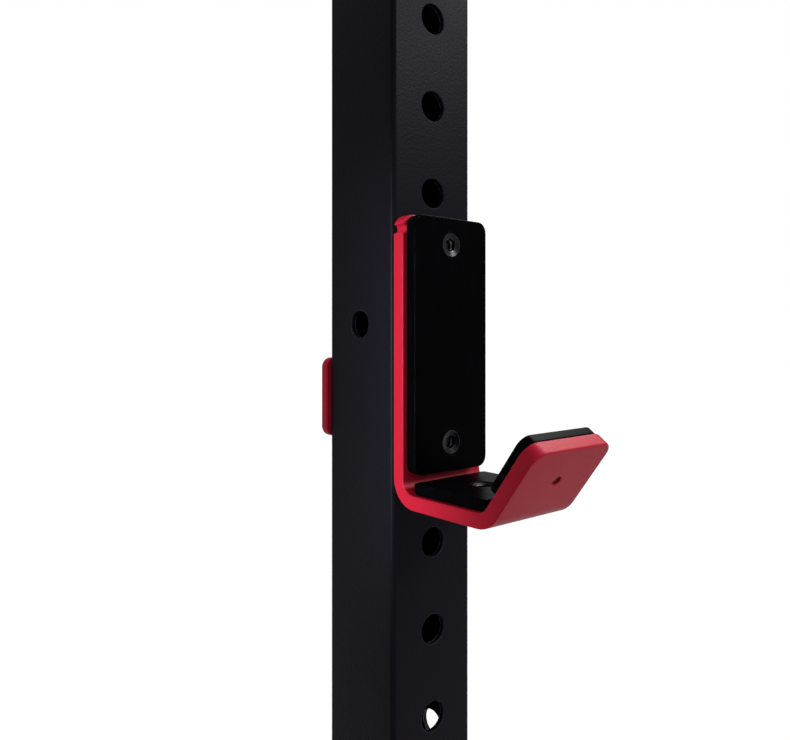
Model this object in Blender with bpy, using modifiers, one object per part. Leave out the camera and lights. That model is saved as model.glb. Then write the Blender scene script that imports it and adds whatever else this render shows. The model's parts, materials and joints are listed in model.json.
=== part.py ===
"""Power rack: four drilled uprights on two base runners, tied together at the
top and at the rear foot, with a pair of lined J-cups on the front uprights and
a pair of pin-and-pipe safeties between the front and rear uprights.

Metres, +Z up. The front of the rack faces -Y and its right side is +X. The
origin is on the floor, midway between the four uprights.
"""

import bpy
import bmesh
from math import cos, pi, radians, sin, tan
from mathutils import Matrix, Vector

# Clearance kept between pieces that touch on the real rack
GAP = 0.0003

# Uprights: square tube, with a pin-hole ladder front and back and wider-spaced side holes
POST_SIZE = 0.060
POST_WALL = 0.003
POST_CORNER = 0.003
POST_TOP = 2.200
PIN_HOLE = 0.017
PIN_SPACING = 0.050
PIN_COUNT = 31
PIN_LOWEST = 0.350
SIDE_HOLE = 0.016
SIDE_SPACING = 0.250
SIDE_COUNT = 6
SIDE_LOWEST = 0.425
HOLE_SIDES = 8

# Footprint, measured between the centres of the uprights
RACK_WIDTH = 1.160
RACK_DEPTH = 1.300

# Base: two runners on rubber feet, with the uprights bolted on top of them
RUNNER_SIZE = 0.060
RUNNER_LENGTH = 1.600
FOOT_HEIGHT = 0.008
FOOT_LENGTH = 0.110
FOOT_INSET = 0.012
FOOT_ROUND = 0.010

# Welded plates and their hexagon bolts
PLATE = 0.008
PLATE_LENGTH = 0.140
BOLT_SPREAD = 0.100
BOLT_ACROSS = 0.024
BOLT_HEAD = 0.010
WELD_SINK = 0.002

# Top rails, crossmembers and pull-up bar
TIE_DROP = 0.100
CHIN_BAR_DIAMETER = 0.032
CHIN_BAR_WALL = 0.003
CHIN_BAR_SIDES = 12

# Plastic plugs in the open tube ends
PLUG_HEAD = 0.004
PLUG_DEPTH = 0.018
PLUG_BEVEL = 0.0015

# J-cups: a bent flat bar behind plastic liners, hung on one pin hole
CUP_HOLE = 22
CUP_PLATE = 0.008
CUP_BEND = 0.008
CUP_CORNER = 0.008
CUP_ABOVE_PIN = 0.0345
CUP_SHELF_DROP = 0.1168
CUP_THROAT = 0.058
LIP_ANGLE = radians(54)
LIP_LENGTH = 0.0458
NOTCH_DIAMETER = 0.005
NOTCH_ABOVE_PIN = 0.0265
CUP_PIN_DIAMETER = 0.016
CUP_PIN_REACH = 0.042
CUP_PIN_CHAMFER = 0.0025

# Wrap: side flange and rear tab that hook the cup round its upright
WRAP_PLATE = 0.0055
WRAP_LAP = 0.005
WRAP_TOP_DROP = 0.045
WRAP_HEIGHT = 0.048
WRAP_BEND = 0.002
WRAP_CORNER = 0.006
WRAP_OVERREACH = 0.0023
FOLD_STEP = radians(18)

# Liners and their countersunk screws
LINER_WIDTH = 0.055
LINER_CORNER = 0.006
BACK_LINER = 0.007
BACK_LINER_TOP = 0.0338
BACK_LINER_BOTTOM = 0.107
SHELF_LINER = 0.006
SHELF_LINER_START = 0.0055
SHELF_LINER_CORNER = 0.002
LINER_RELIEF = 0.0026
LINER_SPACE = 0.0007
LIP_LINER = 0.005
LIP_LINER_MARGIN = 0.0005
UPPER_SCREW = 0.019
LOWER_SCREW = 0.091
LIP_SCREW = 0.0245
SCREW_HEAD = 0.0135
SCREW_SHANK = 0.005
SCREW_RIM = 0.0006
SCREW_RECESS = 0.0005
SCREW_END = 0.001
SCREW_SIDES = 8

# Safeties: a pipe hung on a solid rod that passes through both uprights
SAFETY_HOLE = 5
PIPE_DIAMETER = 0.048
PIPE_WALL = 0.0035
BUSH_FLANGE = 0.004
BUSH_DEPTH = 0.016
ROD_DIAMETER = 0.016
ROD_TAIL = 0.030
ROD_CHAMFER = 0.003
ROD_CLEARANCE = 0.0006
GRIP_LENGTH = 0.095
GRIP_DIAMETER = 0.030
GRIP_COLLAR = 0.038
GRIP_COLLAR_LENGTH = 0.008
GRIP_ROUND = 0.005
GRIP_END = 0.010
ROUND_SIDES = 12
PIPE_SIDES = 10

# Places worked out from the sizes above
RUNNER_BOTTOM = FOOT_HEIGHT + GAP
POST_BASE = RUNNER_BOTTOM + RUNNER_SIZE + GAP
TIE_HEIGHT = POST_TOP - TIE_DROP
CUP_HEIGHT = PIN_LOWEST + CUP_HOLE * PIN_SPACING
SAFETY_HEIGHT = PIN_LOWEST + SAFETY_HOLE * PIN_SPACING
FRONT_FACE = -(RACK_DEPTH + POST_SIZE) / 2
REAR_FACE = -FRONT_FACE

# Facets that meet at less than this are shaded as one round surface
SMOOTH_BELOW = radians(50)


def clear_scene():
    """Start from an empty scene."""
    for old in list(bpy.data.objects):
        bpy.data.objects.remove(old, do_unlink=True)


def new_collection(name):
    """A collection linked to the scene."""
    collection = bpy.data.collections.new(name)
    bpy.context.scene.collection.children.link(collection)
    return collection


def new_material(name, color, metallic, roughness):
    """A Principled BSDF material."""
    material = bpy.data.materials.new(name)
    material.use_nodes = True
    shader = material.node_tree.nodes["Principled BSDF"]
    shader.inputs["Base Color"].default_value = (*color, 1.0)
    shader.inputs["Metallic"].default_value = metallic
    shader.inputs["Roughness"].default_value = roughness
    material.diffuse_color = (*color, 1.0)
    return material


clear_scene()
RACK = new_collection("power_rack")
TOOLS = new_collection("cutters_and_guides")

BLACK_POWDER = new_material("black_powder_coat", (0.012, 0.011, 0.014), 0.0, 0.55)
RED_POWDER = new_material("red_powder_coat", (0.50, 0.008, 0.030), 0.0, 0.42)
LINER_PLASTIC = new_material("black_liner_plastic", (0.003, 0.003, 0.004), 0.0, 0.45)
PLUG_PLASTIC = new_material("plug_plastic", (0.010, 0.010, 0.010), 0.0, 0.50)
FOOT_RUBBER = new_material("foot_rubber", (0.012, 0.012, 0.012), 0.0, 0.80)
BLACK_OXIDE = new_material("black_oxide_screw", (0.020, 0.020, 0.022), 0.8, 0.40)
BRIGHT_STEEL = new_material("bright_steel", (0.45, 0.45, 0.46), 1.0, 0.30)


def finish(obj, name, material, parent=None):
    """Name an object, give it its material and put it among the rack's pieces."""
    obj.name = name
    obj.data.name = name
    obj.data.materials.clear()
    obj.data.materials.append(material)
    obj.data.shade_smooth()
    obj.data.set_sharp_from_angle(angle=SMOOTH_BELOW)
    for collection in list(obj.users_collection):
        collection.objects.unlink(obj)
    RACK.objects.link(obj)
    if parent:
        obj.parent = parent
    return obj


def tool(obj, name):
    """Keep an object as a cutter or a guide, out of the render."""
    obj.name = name
    for collection in list(obj.users_collection):
        collection.objects.unlink(obj)
    TOOLS.objects.link(obj)
    obj.hide_render = True
    obj.display_type = 'WIRE'
    return obj


def mesh_object(bm, location=(0, 0, 0)):
    """Turn a bmesh into an object at a place."""
    mesh = bpy.data.meshes.new("piece")
    bm.to_mesh(mesh)
    bm.free()
    obj = bpy.data.objects.new("piece", mesh)
    obj.location = location
    bpy.context.scene.collection.objects.link(obj)
    return obj


def add_box(bm, low, high):
    """Add a box between two corners and return its vertices."""
    low, high = Vector(low), Vector(high)
    size = high - low
    place = Matrix.Translation((low + high) / 2) @ Matrix.Diagonal((*size, 1.0))
    return bmesh.ops.create_cube(bm, size=1.0, matrix=place)["verts"]


def add_cylinder(bm, start, end, diameter, sides):
    """Add a closed cylinder between two points."""
    start, end = Vector(start), Vector(end)
    along = end - start
    turn = along.to_track_quat('Z', 'Y').to_matrix().to_4x4()
    flat_up = Matrix.Rotation(pi / sides, 4, 'Z')
    place = Matrix.Translation((start + end) / 2) @ turn @ flat_up
    bmesh.ops.create_cone(bm, cap_ends=True, segments=sides, radius1=diameter / 2,
                          radius2=diameter / 2, depth=along.length, matrix=place)


def around(diameter, sides):
    """Diameter over the corners of a polygon drawn around a circle."""
    return diameter / cos(pi / sides)


def modify(obj, kind, **settings):
    """Add a modifier and set it."""
    modifier = obj.modifiers.new(kind.title(), kind)
    for key, value in settings.items():
        setattr(modifier, key, value)
    return modifier


def join(obj, other):
    """Weld another object on."""
    modify(obj, 'BOOLEAN', operation='UNION', object=other, solver='EXACT')


def cut(obj, other):
    """Cut another object out."""
    modify(obj, 'BOOLEAN', operation='DIFFERENCE', object=other, solver='EXACT')


def edges_along(bm, axis):
    """Edges that run along one axis."""
    found = []
    for edge in bm.edges:
        along = (edge.verts[1].co - edge.verts[0].co).normalized()
        if abs(along[axis]) > 0.999:
            found.append(edge)
    return found


def round_edges(bm, edges, radius, segments):
    """Round edges to a radius."""
    bmesh.ops.bevel(bm, geom=edges, offset=radius, offset_type='OFFSET', segments=segments,
                    profile=0.5, affect='EDGES', material=-1, clamp_overlap=True)


def turned(profile, sides):
    """A turned piece on +Z. The profile runs from the top of the axis to its foot."""
    bm = bmesh.new()
    points = [bm.verts.new((radius, 0.0, height)) for radius, height in profile]
    for first, second in zip(points, points[1:]):
        bm.edges.new((first, second))
    obj = mesh_object(bm)
    modify(obj, 'SCREW', angle=2 * pi, steps=sides, render_steps=sides, axis='Z',
           use_merge_vertices=True, merge_threshold=0.00001, use_smooth_shade=False)
    return obj


def square_tube(low, high, wall, corner, axis):
    """A square tube between two corners, open at both ends of one axis."""
    bm = bmesh.new()
    add_box(bm, low, high)
    ends = [face for face in bm.faces if abs(face.normal[axis]) > 0.5]
    bmesh.ops.delete(bm, geom=ends, context='FACES_ONLY')
    round_edges(bm, edges_along(bm, axis), corner, 2)
    obj = mesh_object(bm)
    modify(obj, 'SOLIDIFY', thickness=wall, offset=-1.0, use_even_offset=True)
    return obj


def edge_between(bm, first, second):
    """The edge whose ends lie at two points."""
    for edge in bm.edges:
        ends = [vert.co for vert in edge.verts]
        for a, b in (ends, reversed(ends)):
            if (a - Vector(first)).length < 1e-6 and (b - Vector(second)).length < 1e-6:
                return edge


def folded_strip(path, half_width, radii, thickness, corners, vertical=False):
    """Sheet metal: a strip folded along a path, its four free corners rounded.

    The path lies in the (y, z) plane and the strip is wide in x, or, if
    vertical, it lies in the (x, y) plane and the strip is wide in z. The radii
    are those of the face that the path follows, one for each fold.
    """
    bm = bmesh.new()
    rows = []
    for a, b in path:
        if vertical:
            rows.append([(a, b, -half_width), (a, b, half_width)])
        else:
            rows.append([(-half_width, a, b), (half_width, a, b)])
    verts = [[bm.verts.new(point) for point in row] for row in rows]
    for first, second in zip(verts, verts[1:]):
        bm.faces.new((first[0], first[1], second[1], second[0]))
    for index, radius in enumerate(radii, start=1):
        into = Vector(path[index]) - Vector(path[index - 1])
        out = Vector(path[index + 1]) - Vector(path[index])
        turn = into.angle(out)
        segments = max(2, round(turn / FOLD_STEP))
        round_edges(bm, [edge_between(bm, *rows[index])], radius * tan(turn / 2), segments)
    for row, corner in ((verts[0], corners[0]), (verts[-1], corners[1])):
        if corner:
            bmesh.ops.bevel(bm, geom=row, offset=corner, offset_type='OFFSET', segments=3,
                            profile=0.5, affect='VERTICES', material=-1)
    obj = mesh_object(bm)
    modify(obj, 'SOLIDIFY', thickness=thickness, offset=-1.0, use_even_offset=True)
    return obj


def baked(obj):
    """The finished mesh of an object, with its modifiers applied."""
    bpy.context.view_layer.update()
    graph = bpy.context.evaluated_depsgraph_get()
    return bpy.data.meshes.new_from_object(obj.evaluated_get(graph))


def copies(pattern, places, material):
    """Put finished copies of a pattern at named places, and keep it as a guide."""
    mesh = baked(pattern)
    tool(pattern, f"{places[0][0]}_pattern")
    for name, location, rotation in places:
        obj = bpy.data.objects.new(name, mesh)
        obj.location = location
        obj.rotation_euler = rotation
        bpy.context.scene.collection.objects.link(obj)
        finish(obj, name, material)


def corners(prefix, x, y, z, turn_rear=False):
    """Four names and places, one at each corner of the rack."""
    places = []
    for end, y_sign in (("front", -1), ("rear", 1)):
        for side, x_sign in (("right", 1), ("left", -1)):
            turn = pi if turn_rear and y_sign > 0 else 0.0
            places.append((f"{prefix}_{end}_{side}", (x_sign * x, y_sign * y, z), (0, 0, turn)))
    return places


def bolt_head(bm, seat, direction):
    """Add a hexagon head that stands on a face and is sunk into it a little."""
    seat, direction = Vector(seat), Vector(direction)
    across_corners = around(BOLT_ACROSS, 6)
    add_cylinder(bm, seat - WELD_SINK * direction, seat + BOLT_HEAD * direction, across_corners, 6)


def make_uprights():
    """The four uprights, each welded to a foot plate that is bolted down."""
    half = POST_SIZE / 2
    foot_top = POST_BASE + PLATE
    post = square_tube((-half, -half, foot_top - WELD_SINK), (half, half, POST_TOP),
                       POST_WALL, POST_CORNER, 2)
    pins = bmesh.new()
    for level in range(PIN_COUNT):
        z = PIN_LOWEST + level * PIN_SPACING
        add_cylinder(pins, (0, -POST_SIZE, z), (0, POST_SIZE, z), around(PIN_HOLE, HOLE_SIDES), HOLE_SIDES)
    cut(post, tool(mesh_object(pins), "pin_hole_cutter"))
    sides = bmesh.new()
    for level in range(SIDE_COUNT):
        z = SIDE_LOWEST + level * SIDE_SPACING
        add_cylinder(sides, (-POST_SIZE, 0, z), (POST_SIZE, 0, z), around(SIDE_HOLE, HOLE_SIDES), HOLE_SIDES)
    cut(post, tool(mesh_object(sides), "side_hole_cutter"))
    plate = bmesh.new()
    add_box(plate, (-half, -PLATE_LENGTH / 2, POST_BASE), (half, PLATE_LENGTH / 2, foot_top))
    join(post, tool(mesh_object(plate), "foot_plate_guide"))
    bolts = bmesh.new()
    for y in (-BOLT_SPREAD / 2, BOLT_SPREAD / 2):
        bolt_head(bolts, (0, y, foot_top), (0, 0, 1))
    join(post, tool(mesh_object(bolts), "foot_bolt_guide"))
    copies(post, corners("upright", RACK_WIDTH / 2, RACK_DEPTH / 2, 0, turn_rear=True), BLACK_POWDER)


def tube_plug(size, wall, corner):
    """A square plastic plug: a head that covers the tube's end, and a shank inside it."""
    bm = bmesh.new()
    half = size / 2
    add_box(bm, (-half, -half, GAP), (half, half, GAP + PLUG_HEAD))
    round_edges(bm, edges_along(bm, 2), corner, 1)
    top = [face for face in bm.faces if face.normal.z > 0.9]
    round_edges(bm, list(top[0].edges), PLUG_BEVEL, 1)
    under = [face for face in bm.faces if face.normal.z < -0.9]
    bmesh.ops.inset_region(bm, faces=under, thickness=wall + GAP, use_even_offset=True)
    shank = bmesh.ops.extrude_discrete_faces(bm, faces=under)["faces"]
    bmesh.ops.translate(bm, vec=(0, 0, -PLUG_DEPTH), verts=shank[0].verts)
    return mesh_object(bm)


def make_base():
    """Base runners with their rubber feet and end plugs, and the rear crossmember."""
    half = RUNNER_SIZE / 2
    bottom = FOOT_HEIGHT + GAP
    runner = square_tube((-half, -RUNNER_LENGTH / 2, bottom), (half, RUNNER_LENGTH / 2, bottom + RUNNER_SIZE),
                         POST_WALL, POST_CORNER, 1)
    right, left = (RACK_WIDTH / 2, 0, 0), (-RACK_WIDTH / 2, 0, 0)
    level = (0, 0, 0)
    copies(runner, [("base_runner_right", right, level), ("base_runner_left", left, level)], BLACK_POWDER)

    plugs = []
    for end, y_sign in (("front", -1), ("rear", 1)):
        for side, x_sign in (("right", 1), ("left", -1)):
            spot = (x_sign * RACK_WIDTH / 2, y_sign * RUNNER_LENGTH / 2, bottom + half)
            plugs.append((f"runner_plug_{end}_{side}", spot, (-y_sign * pi / 2, 0, 0)))
    copies(tube_plug(RUNNER_SIZE, POST_WALL, POST_CORNER), plugs, PLUG_PLASTIC)

    foot = bmesh.new()
    add_box(foot, (-half, -FOOT_LENGTH / 2, 0), (half, FOOT_LENGTH / 2, FOOT_HEIGHT))
    round_edges(foot, edges_along(foot, 2), FOOT_ROUND, 2)
    foot_y = RUNNER_LENGTH / 2 - FOOT_INSET - FOOT_LENGTH / 2
    copies(mesh_object(foot), corners("rubber_foot", RACK_WIDTH / 2, foot_y, 0), FOOT_RUBBER)

    span = RACK_WIDTH - RUNNER_SIZE
    base_y = RACK_DEPTH / 2
    base_tie = square_tie(span, RUNNER_SIZE)
    copies(base_tie, [("base_crossmember_rear", (0, base_y, bottom + half), (pi / 2, 0, 0))], BLACK_POWDER)


def end_plates(obj, span, width):
    """Weld a bolted plate to each end of a tie that lies along x."""
    plates = bmesh.new()
    bolts = bmesh.new()
    face = span / 2 - GAP
    for sign in (-1, 1):
        inner, outer = sorted((sign * (face - PLATE), sign * face))
        add_box(plates, (inner, -width / 2, -PLATE_LENGTH / 2), (outer, width / 2, PLATE_LENGTH / 2))
        for z in (-BOLT_SPREAD / 2, BOLT_SPREAD / 2):
            bolt_head(bolts, (sign * (face - PLATE), 0, z), (-sign, 0, 0))
    join(obj, tool(mesh_object(plates), "end_plate_guide"))
    join(obj, tool(mesh_object(bolts), "end_bolt_guide"))


def square_tie(span, width):
    """A square tube along x between two plates, open through both of them."""
    half = width / 2
    reach = span / 2 - GAP - WELD_SINK
    bar = bmesh.new()
    add_box(bar, (-reach, -half, -half), (reach, half, half))
    round_edges(bar, edges_along(bar, 0), POST_CORNER, 2)
    obj = mesh_object(bar)
    end_plates(obj, span, width)
    bore = bmesh.new()
    inner = half - POST_WALL
    add_box(bore, (-span, -inner, -inner), (span, inner, inner))
    cut(obj, tool(mesh_object(bore), "tie_bore_cutter"))
    return obj


def round_tie(span, width, diameter, wall):
    """A round tube along x between two plates, open through both of them."""
    reach = span / 2 - GAP - WELD_SINK
    bar = bmesh.new()
    add_cylinder(bar, (-reach, 0, 0), (reach, 0, 0), diameter, CHIN_BAR_SIDES)
    obj = mesh_object(bar)
    end_plates(obj, span, width)
    bore = bmesh.new()
    add_cylinder(bore, (-span, 0, 0), (span, 0, 0), diameter - 2 * wall, CHIN_BAR_SIDES)
    cut(obj, tool(mesh_object(bore), "chin_bar_bore_cutter"))
    return obj


def make_top():
    """Plugs, side rails, rear crossmember and pull-up bar at the top."""
    plug = tube_plug(POST_SIZE, POST_WALL, POST_CORNER)
    copies(plug, corners("upright_plug", RACK_WIDTH / 2, RACK_DEPTH / 2, POST_TOP), PLUG_PLASTIC)
    rail = square_tie(RACK_DEPTH - POST_SIZE, POST_SIZE)
    along_y = (0, 0, pi / 2)
    right, left = (RACK_WIDTH / 2, 0, TIE_HEIGHT), (-RACK_WIDTH / 2, 0, TIE_HEIGHT)
    copies(rail, [("top_rail_right", right, along_y), ("top_rail_left", left, along_y)], BLACK_POWDER)
    rear = square_tie(RACK_WIDTH - POST_SIZE, POST_SIZE)
    rear_place = (0, RACK_DEPTH / 2, TIE_HEIGHT)
    copies(rear, [("top_crossmember_rear", rear_place, (0, 0, 0))], BLACK_POWDER)
    chin = round_tie(RACK_WIDTH - POST_SIZE, POST_SIZE, CHIN_BAR_DIAMETER, CHIN_BAR_WALL)
    chin_place = (0, -RACK_DEPTH / 2, TIE_HEIGHT)
    copies(chin, [("pull_up_bar", chin_place, (0, 0, 0))], BLACK_POWDER)


def axis_empty(name, location):
    """An empty on a joint's axis, for the pieces that move with it."""
    empty = bpy.data.objects.new(name, None)
    empty.location = location
    RACK.objects.link(empty)
    return empty


def place(obj, spot, tilt):
    """Put an object at (y, z) on the cup's middle plane, tilted about x."""
    obj.location = (0, *spot)
    obj.rotation_euler = (tilt, 0, 0)
    return obj


# The three lined faces of a J-cup: a point on the steel at (y, z) from the pin, and a tilt
# that turns +Z out of the face and -Y towards the face's far end
CUP_FRONT = -(GAP + CUP_PLATE)
LEG_FACE = ((CUP_FRONT, 0), pi / 2)
SHELF_FACE = ((CUP_FRONT, -CUP_SHELF_DROP), 0)
LIP_FACE = ((CUP_FRONT - CUP_THROAT, -CUP_SHELF_DROP), -LIP_ANGLE)

# Each liner: the face it lies on, its two ends along that face, its thickness, its corner radius
# and whether its underside is relieved to clear the folds at its ends
SHELF_LINER_END = CUP_THROAT - LINER_SPACE
LIP_LINER_START = (SHELF_LINER + GAP + LINER_SPACE) / sin(LIP_ANGLE)
LINERS = {
    "back": (LEG_FACE, -BACK_LINER_TOP, BACK_LINER_BOTTOM, BACK_LINER, LINER_CORNER, False),
    "shelf": (SHELF_FACE, SHELF_LINER_START, SHELF_LINER_END, SHELF_LINER, SHELF_LINER_CORNER, True),
    "lip": (LIP_FACE, LIP_LINER_START, LIP_LENGTH - LIP_LINER_MARGIN, LIP_LINER, LINER_CORNER, False),
}
SCREWS = {
    "back_upper": ("back", -UPPER_SCREW),
    "back_lower": ("back", LOWER_SCREW),
    "shelf": ("shelf", (SHELF_LINER_START + SHELF_LINER_END) / 2),
    "lip": ("lip", LIP_SCREW),
}


def on_face(face, along, height):
    """A point (y, z) that lies along a cup face and above its steel."""
    (y, z), tilt = face
    return (y - along * cos(tilt) - height * sin(tilt), z - along * sin(tilt) + height * cos(tilt))


def cup_bar():
    """The bent flat bar: upright leg, shelf and sloping lip."""
    outer_bend = CUP_BEND + CUP_PLATE
    toe = CUP_PLATE * tan(LIP_ANGLE / 2)
    floor = -(CUP_SHELF_DROP + CUP_PLATE)
    toe_y = CUP_FRONT - CUP_THROAT - toe
    lip = LIP_LENGTH + toe
    path = [(-GAP, CUP_ABOVE_PIN), (-GAP, floor), (toe_y, floor),
            (toe_y - lip * cos(LIP_ANGLE), floor + lip * sin(LIP_ANGLE))]
    bar = folded_strip(path, POST_SIZE / 2, (outer_bend, outer_bend), CUP_PLATE, (CUP_CORNER, CUP_CORNER))
    for spot, (liner, along) in SCREWS.items():
        face = LINERS[liner][0]
        bm = bmesh.new()
        hole = around(SCREW_SHANK + 2 * GAP, HOLE_SIDES)
        add_cylinder(bm, (0, 0, -2 * CUP_PLATE), (0, 0, CUP_PLATE), hole, HOLE_SIDES)
        cut(bar, tool(place(mesh_object(bm), on_face(face, along, 0), face[1]), f"{spot}_hole_cutter"))
    bm = bmesh.new()
    add_cylinder(bm, (0, -2 * CUP_PLATE, 0), (0, CUP_PLATE, 0),
                 around(CUP_PIN_DIAMETER + 2 * GAP, ROUND_SIDES), ROUND_SIDES)
    cut(bar, tool(mesh_object(bm), "cup_pin_hole_cutter"))
    bm = bmesh.new()
    edge = -POST_SIZE / 2
    add_cylinder(bm, (edge, -2 * CUP_PLATE, NOTCH_ABOVE_PIN), (edge, CUP_PLATE, NOTCH_ABOVE_PIN),
                 NOTCH_DIAMETER, HOLE_SIDES)
    cut(bar, tool(mesh_object(bm), "cup_notch_cutter"))
    return bar


def cup_wrap():
    """Side flange and rear tab, bent from one plate and welded to the bar's outer edge."""
    side = POST_SIZE / 2 + GAP
    back = POST_SIZE + GAP
    path = [(side, -GAP - WRAP_LAP), (side, back), (-(POST_SIZE / 2 + WRAP_OVERREACH), back)]
    wrap = folded_strip(path, WRAP_HEIGHT / 2, (WRAP_BEND,), WRAP_PLATE, (0, WRAP_CORNER), vertical=True)
    wrap.location.z = -(WRAP_TOP_DROP + WRAP_HEIGHT / 2)
    return wrap


def cup_pin():
    """The hardened pin, pressed into the bar, that enters the upright's hole."""
    radius = CUP_PIN_DIAMETER / 2
    length = GAP + CUP_PLATE + CUP_PIN_REACH
    profile = [(0, 0), (radius, 0), (radius, CUP_PIN_CHAMFER - length),
               (radius - CUP_PIN_CHAMFER, -length), (0, -length)]
    return place(turned(profile, ROUND_SIDES), (CUP_FRONT, 0), pi / 2)


def cup_liner(liner):
    """One plastic liner: a rounded plate with countersunk holes."""
    face, near, far, thickness, corner, relieved = LINERS[liner]
    bm = bmesh.new()
    half = LINER_WIDTH / 2
    add_box(bm, (-half, -far, GAP), (half, -near, GAP + thickness))
    round_edges(bm, edges_along(bm, 2), corner, 2)
    if relieved:
        under = [face for face in bm.faces if face.normal.z < -0.9]
        ends = [edge for edge in under[0].edges
                if abs(edge.verts[0].co.y - edge.verts[1].co.y) < (far - near) / 2]
        round_edges(bm, ends, LINER_RELIEF, 1)
    plate = place(mesh_object(bm), *face)
    for spot, (owner, along) in SCREWS.items():
        if owner == liner:
            profile = screw_profile(GAP, 2 * thickness, SCREW_RIM + 2 * SCREW_RECESS)
            sink = turned([(r and around(r, SCREW_SIDES), z) for r, z in profile], SCREW_SIDES)
            place(sink, on_face(face, along, GAP + thickness + SCREW_RECESS), face[1])
            cut(plate, tool(sink, f"{spot}_countersink_cutter"))
    return plate


def screw_profile(margin, length, rim):
    """Half outline of a countersunk screw, from the middle of its head to its tip."""
    head = SCREW_HEAD / 2 + margin
    shank = SCREW_SHANK / 2 + margin
    return [(0, 0), (head, 0), (head, -rim), (shank, -rim - (head - shank)), (shank, -length), (0, -length)]


def cup_screw(spot):
    """One countersunk screw, its head just below the liner's face."""
    liner, along = SCREWS[spot]
    face, thickness = LINERS[liner][0], LINERS[liner][3]
    length = thickness + GAP - SCREW_RECESS + CUP_PLATE - SCREW_END
    screw = turned(screw_profile(0, length, SCREW_RIM), SCREW_SIDES)
    return place(screw, on_face(face, along, GAP + thickness - SCREW_RECESS), face[1])


def hang(pattern, name, material, axis, mirrored):
    """Hang a finished copy of a cup piece on a joint's axis, mirrored on the left."""
    mesh = baked(pattern)
    mesh.transform(pattern.matrix_world)
    if mirrored:
        mesh.transform(Matrix.Scale(-1, 4, (1, 0, 0)))
        mesh.flip_normals()
    obj = bpy.data.objects.new(name, mesh)
    bpy.context.scene.collection.objects.link(obj)
    finish(obj, name, material, axis)


def make_cups():
    """The J-cups: the pieces of the right one, and their mirror images on the left."""
    right = axis_empty("jcup_right_axis", (RACK_WIDTH / 2, FRONT_FACE, CUP_HEIGHT))
    left = axis_empty("jcup_left_axis", (-RACK_WIDTH / 2, FRONT_FACE, CUP_HEIGHT))
    pieces = [("jcup_bar", cup_bar(), RED_POWDER), ("jcup_wrap", cup_wrap(), RED_POWDER),
              ("jcup_pin", cup_pin(), BRIGHT_STEEL)]
    for liner in LINERS:
        pieces.append((f"jcup_{liner}_liner", cup_liner(liner), LINER_PLASTIC))
    for spot in SCREWS:
        pieces.append((f"jcup_{spot}_screw", cup_screw(spot), BLACK_OXIDE))
    for name, pattern, material in pieces:
        tool(pattern, f"{name}_pattern")
        hang(pattern, f"{name}_right", material, right, mirrored=False)
        hang(pattern, f"{name}_left", material, left, mirrored=True)


def safety_pipe():
    """The pipe that would catch the bar, turned about the rod's axis."""
    outer = PIPE_DIAMETER / 2
    inner = outer - PIPE_WALL
    reach = (RACK_DEPTH - POST_SIZE) / 2 - 2 * GAP - BUSH_FLANGE
    profile = [(inner, reach), (outer, reach), (outer, -reach), (inner, -reach), (inner, reach)]
    return turned(profile, PIPE_SIDES)


def safety_bush():
    """A flanged plastic bush that centres the pipe on its rod, its flange on top."""
    bore = ROD_DIAMETER / 2 + ROD_CLEARANCE
    shank = PIPE_DIAMETER / 2 - PIPE_WALL - GAP
    flange = PIPE_DIAMETER / 2
    profile = [(bore, BUSH_FLANGE), (flange, BUSH_FLANGE), (flange, 0), (shank, 0),
               (shank, -BUSH_DEPTH), (bore, -BUSH_DEPTH), (bore, BUSH_FLANGE)]
    return turned(profile, PIPE_SIDES)


def safety_rod():
    """The solid rod, chamfered at its tail, from inside the grip to behind the rear upright."""
    radius = ROD_DIAMETER / 2
    start = FRONT_FACE - GAP - GRIP_LENGTH + GRIP_END + GAP
    length = REAR_FACE + ROD_TAIL - start
    profile = [(0, 0), (radius, 0), (radius, ROD_CHAMFER - length),
               (radius - ROD_CHAMFER, -length), (0, -length)]
    return turned(profile, PIPE_SIDES), start


def safety_grip():
    """The rubber grip pressed on the rod's front end, with a collar that stops at the upright."""
    radius = GRIP_DIAMETER / 2
    collar = GRIP_COLLAR / 2
    bore = ROD_DIAMETER / 2 + GAP
    neck = GRIP_COLLAR_LENGTH - GRIP_LENGTH
    profile = [(0, 0), (radius - GRIP_ROUND, 0), (radius, -GRIP_ROUND), (radius, neck),
               (collar, neck), (collar, -GRIP_LENGTH), (bore, -GRIP_LENGTH), (bore, -GRIP_END), (0, -GRIP_END)]
    return turned(profile, PIPE_SIDES)


def make_safeties():
    """The two safeties, each on an axis that its pipe rolls about and its rod slides along."""
    to_front = (pi / 2, 0, 0)
    to_rear = (-pi / 2, 0, 0)
    bush_y = (RACK_DEPTH - POST_SIZE) / 2 - GAP - BUSH_FLANGE
    rod, rod_y = safety_rod()
    pieces = [("safety_pipe", safety_pipe(), 0, to_front, BLACK_POWDER),
              ("safety_bush_front", safety_bush(), -bush_y, to_front, LINER_PLASTIC),
              ("safety_bush_rear", safety_bush(), bush_y, to_rear, LINER_PLASTIC),
              ("safety_rod", rod, rod_y, to_front, BRIGHT_STEEL),
              ("safety_grip", safety_grip(), FRONT_FACE - GAP - GRIP_LENGTH, to_front, FOOT_RUBBER)]
    axes = [("right", axis_empty("safety_right_axis", (RACK_WIDTH / 2, 0, SAFETY_HEIGHT))),
            ("left", axis_empty("safety_left_axis", (-RACK_WIDTH / 2, 0, SAFETY_HEIGHT)))]
    for name, pattern, y, turn, material in pieces:
        mesh = baked(pattern)
        tool(pattern, f"{name}_pattern")
        for side, axis in axes:
            obj = bpy.data.objects.new(name, mesh)
            obj.location = (0, y, 0)
            obj.rotation_euler = turn
            bpy.context.scene.collection.objects.link(obj)
            finish(obj, f"{name}_{side}", material, axis)


make_uprights()
make_base()
make_top()
make_cups()
make_safeties()
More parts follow.
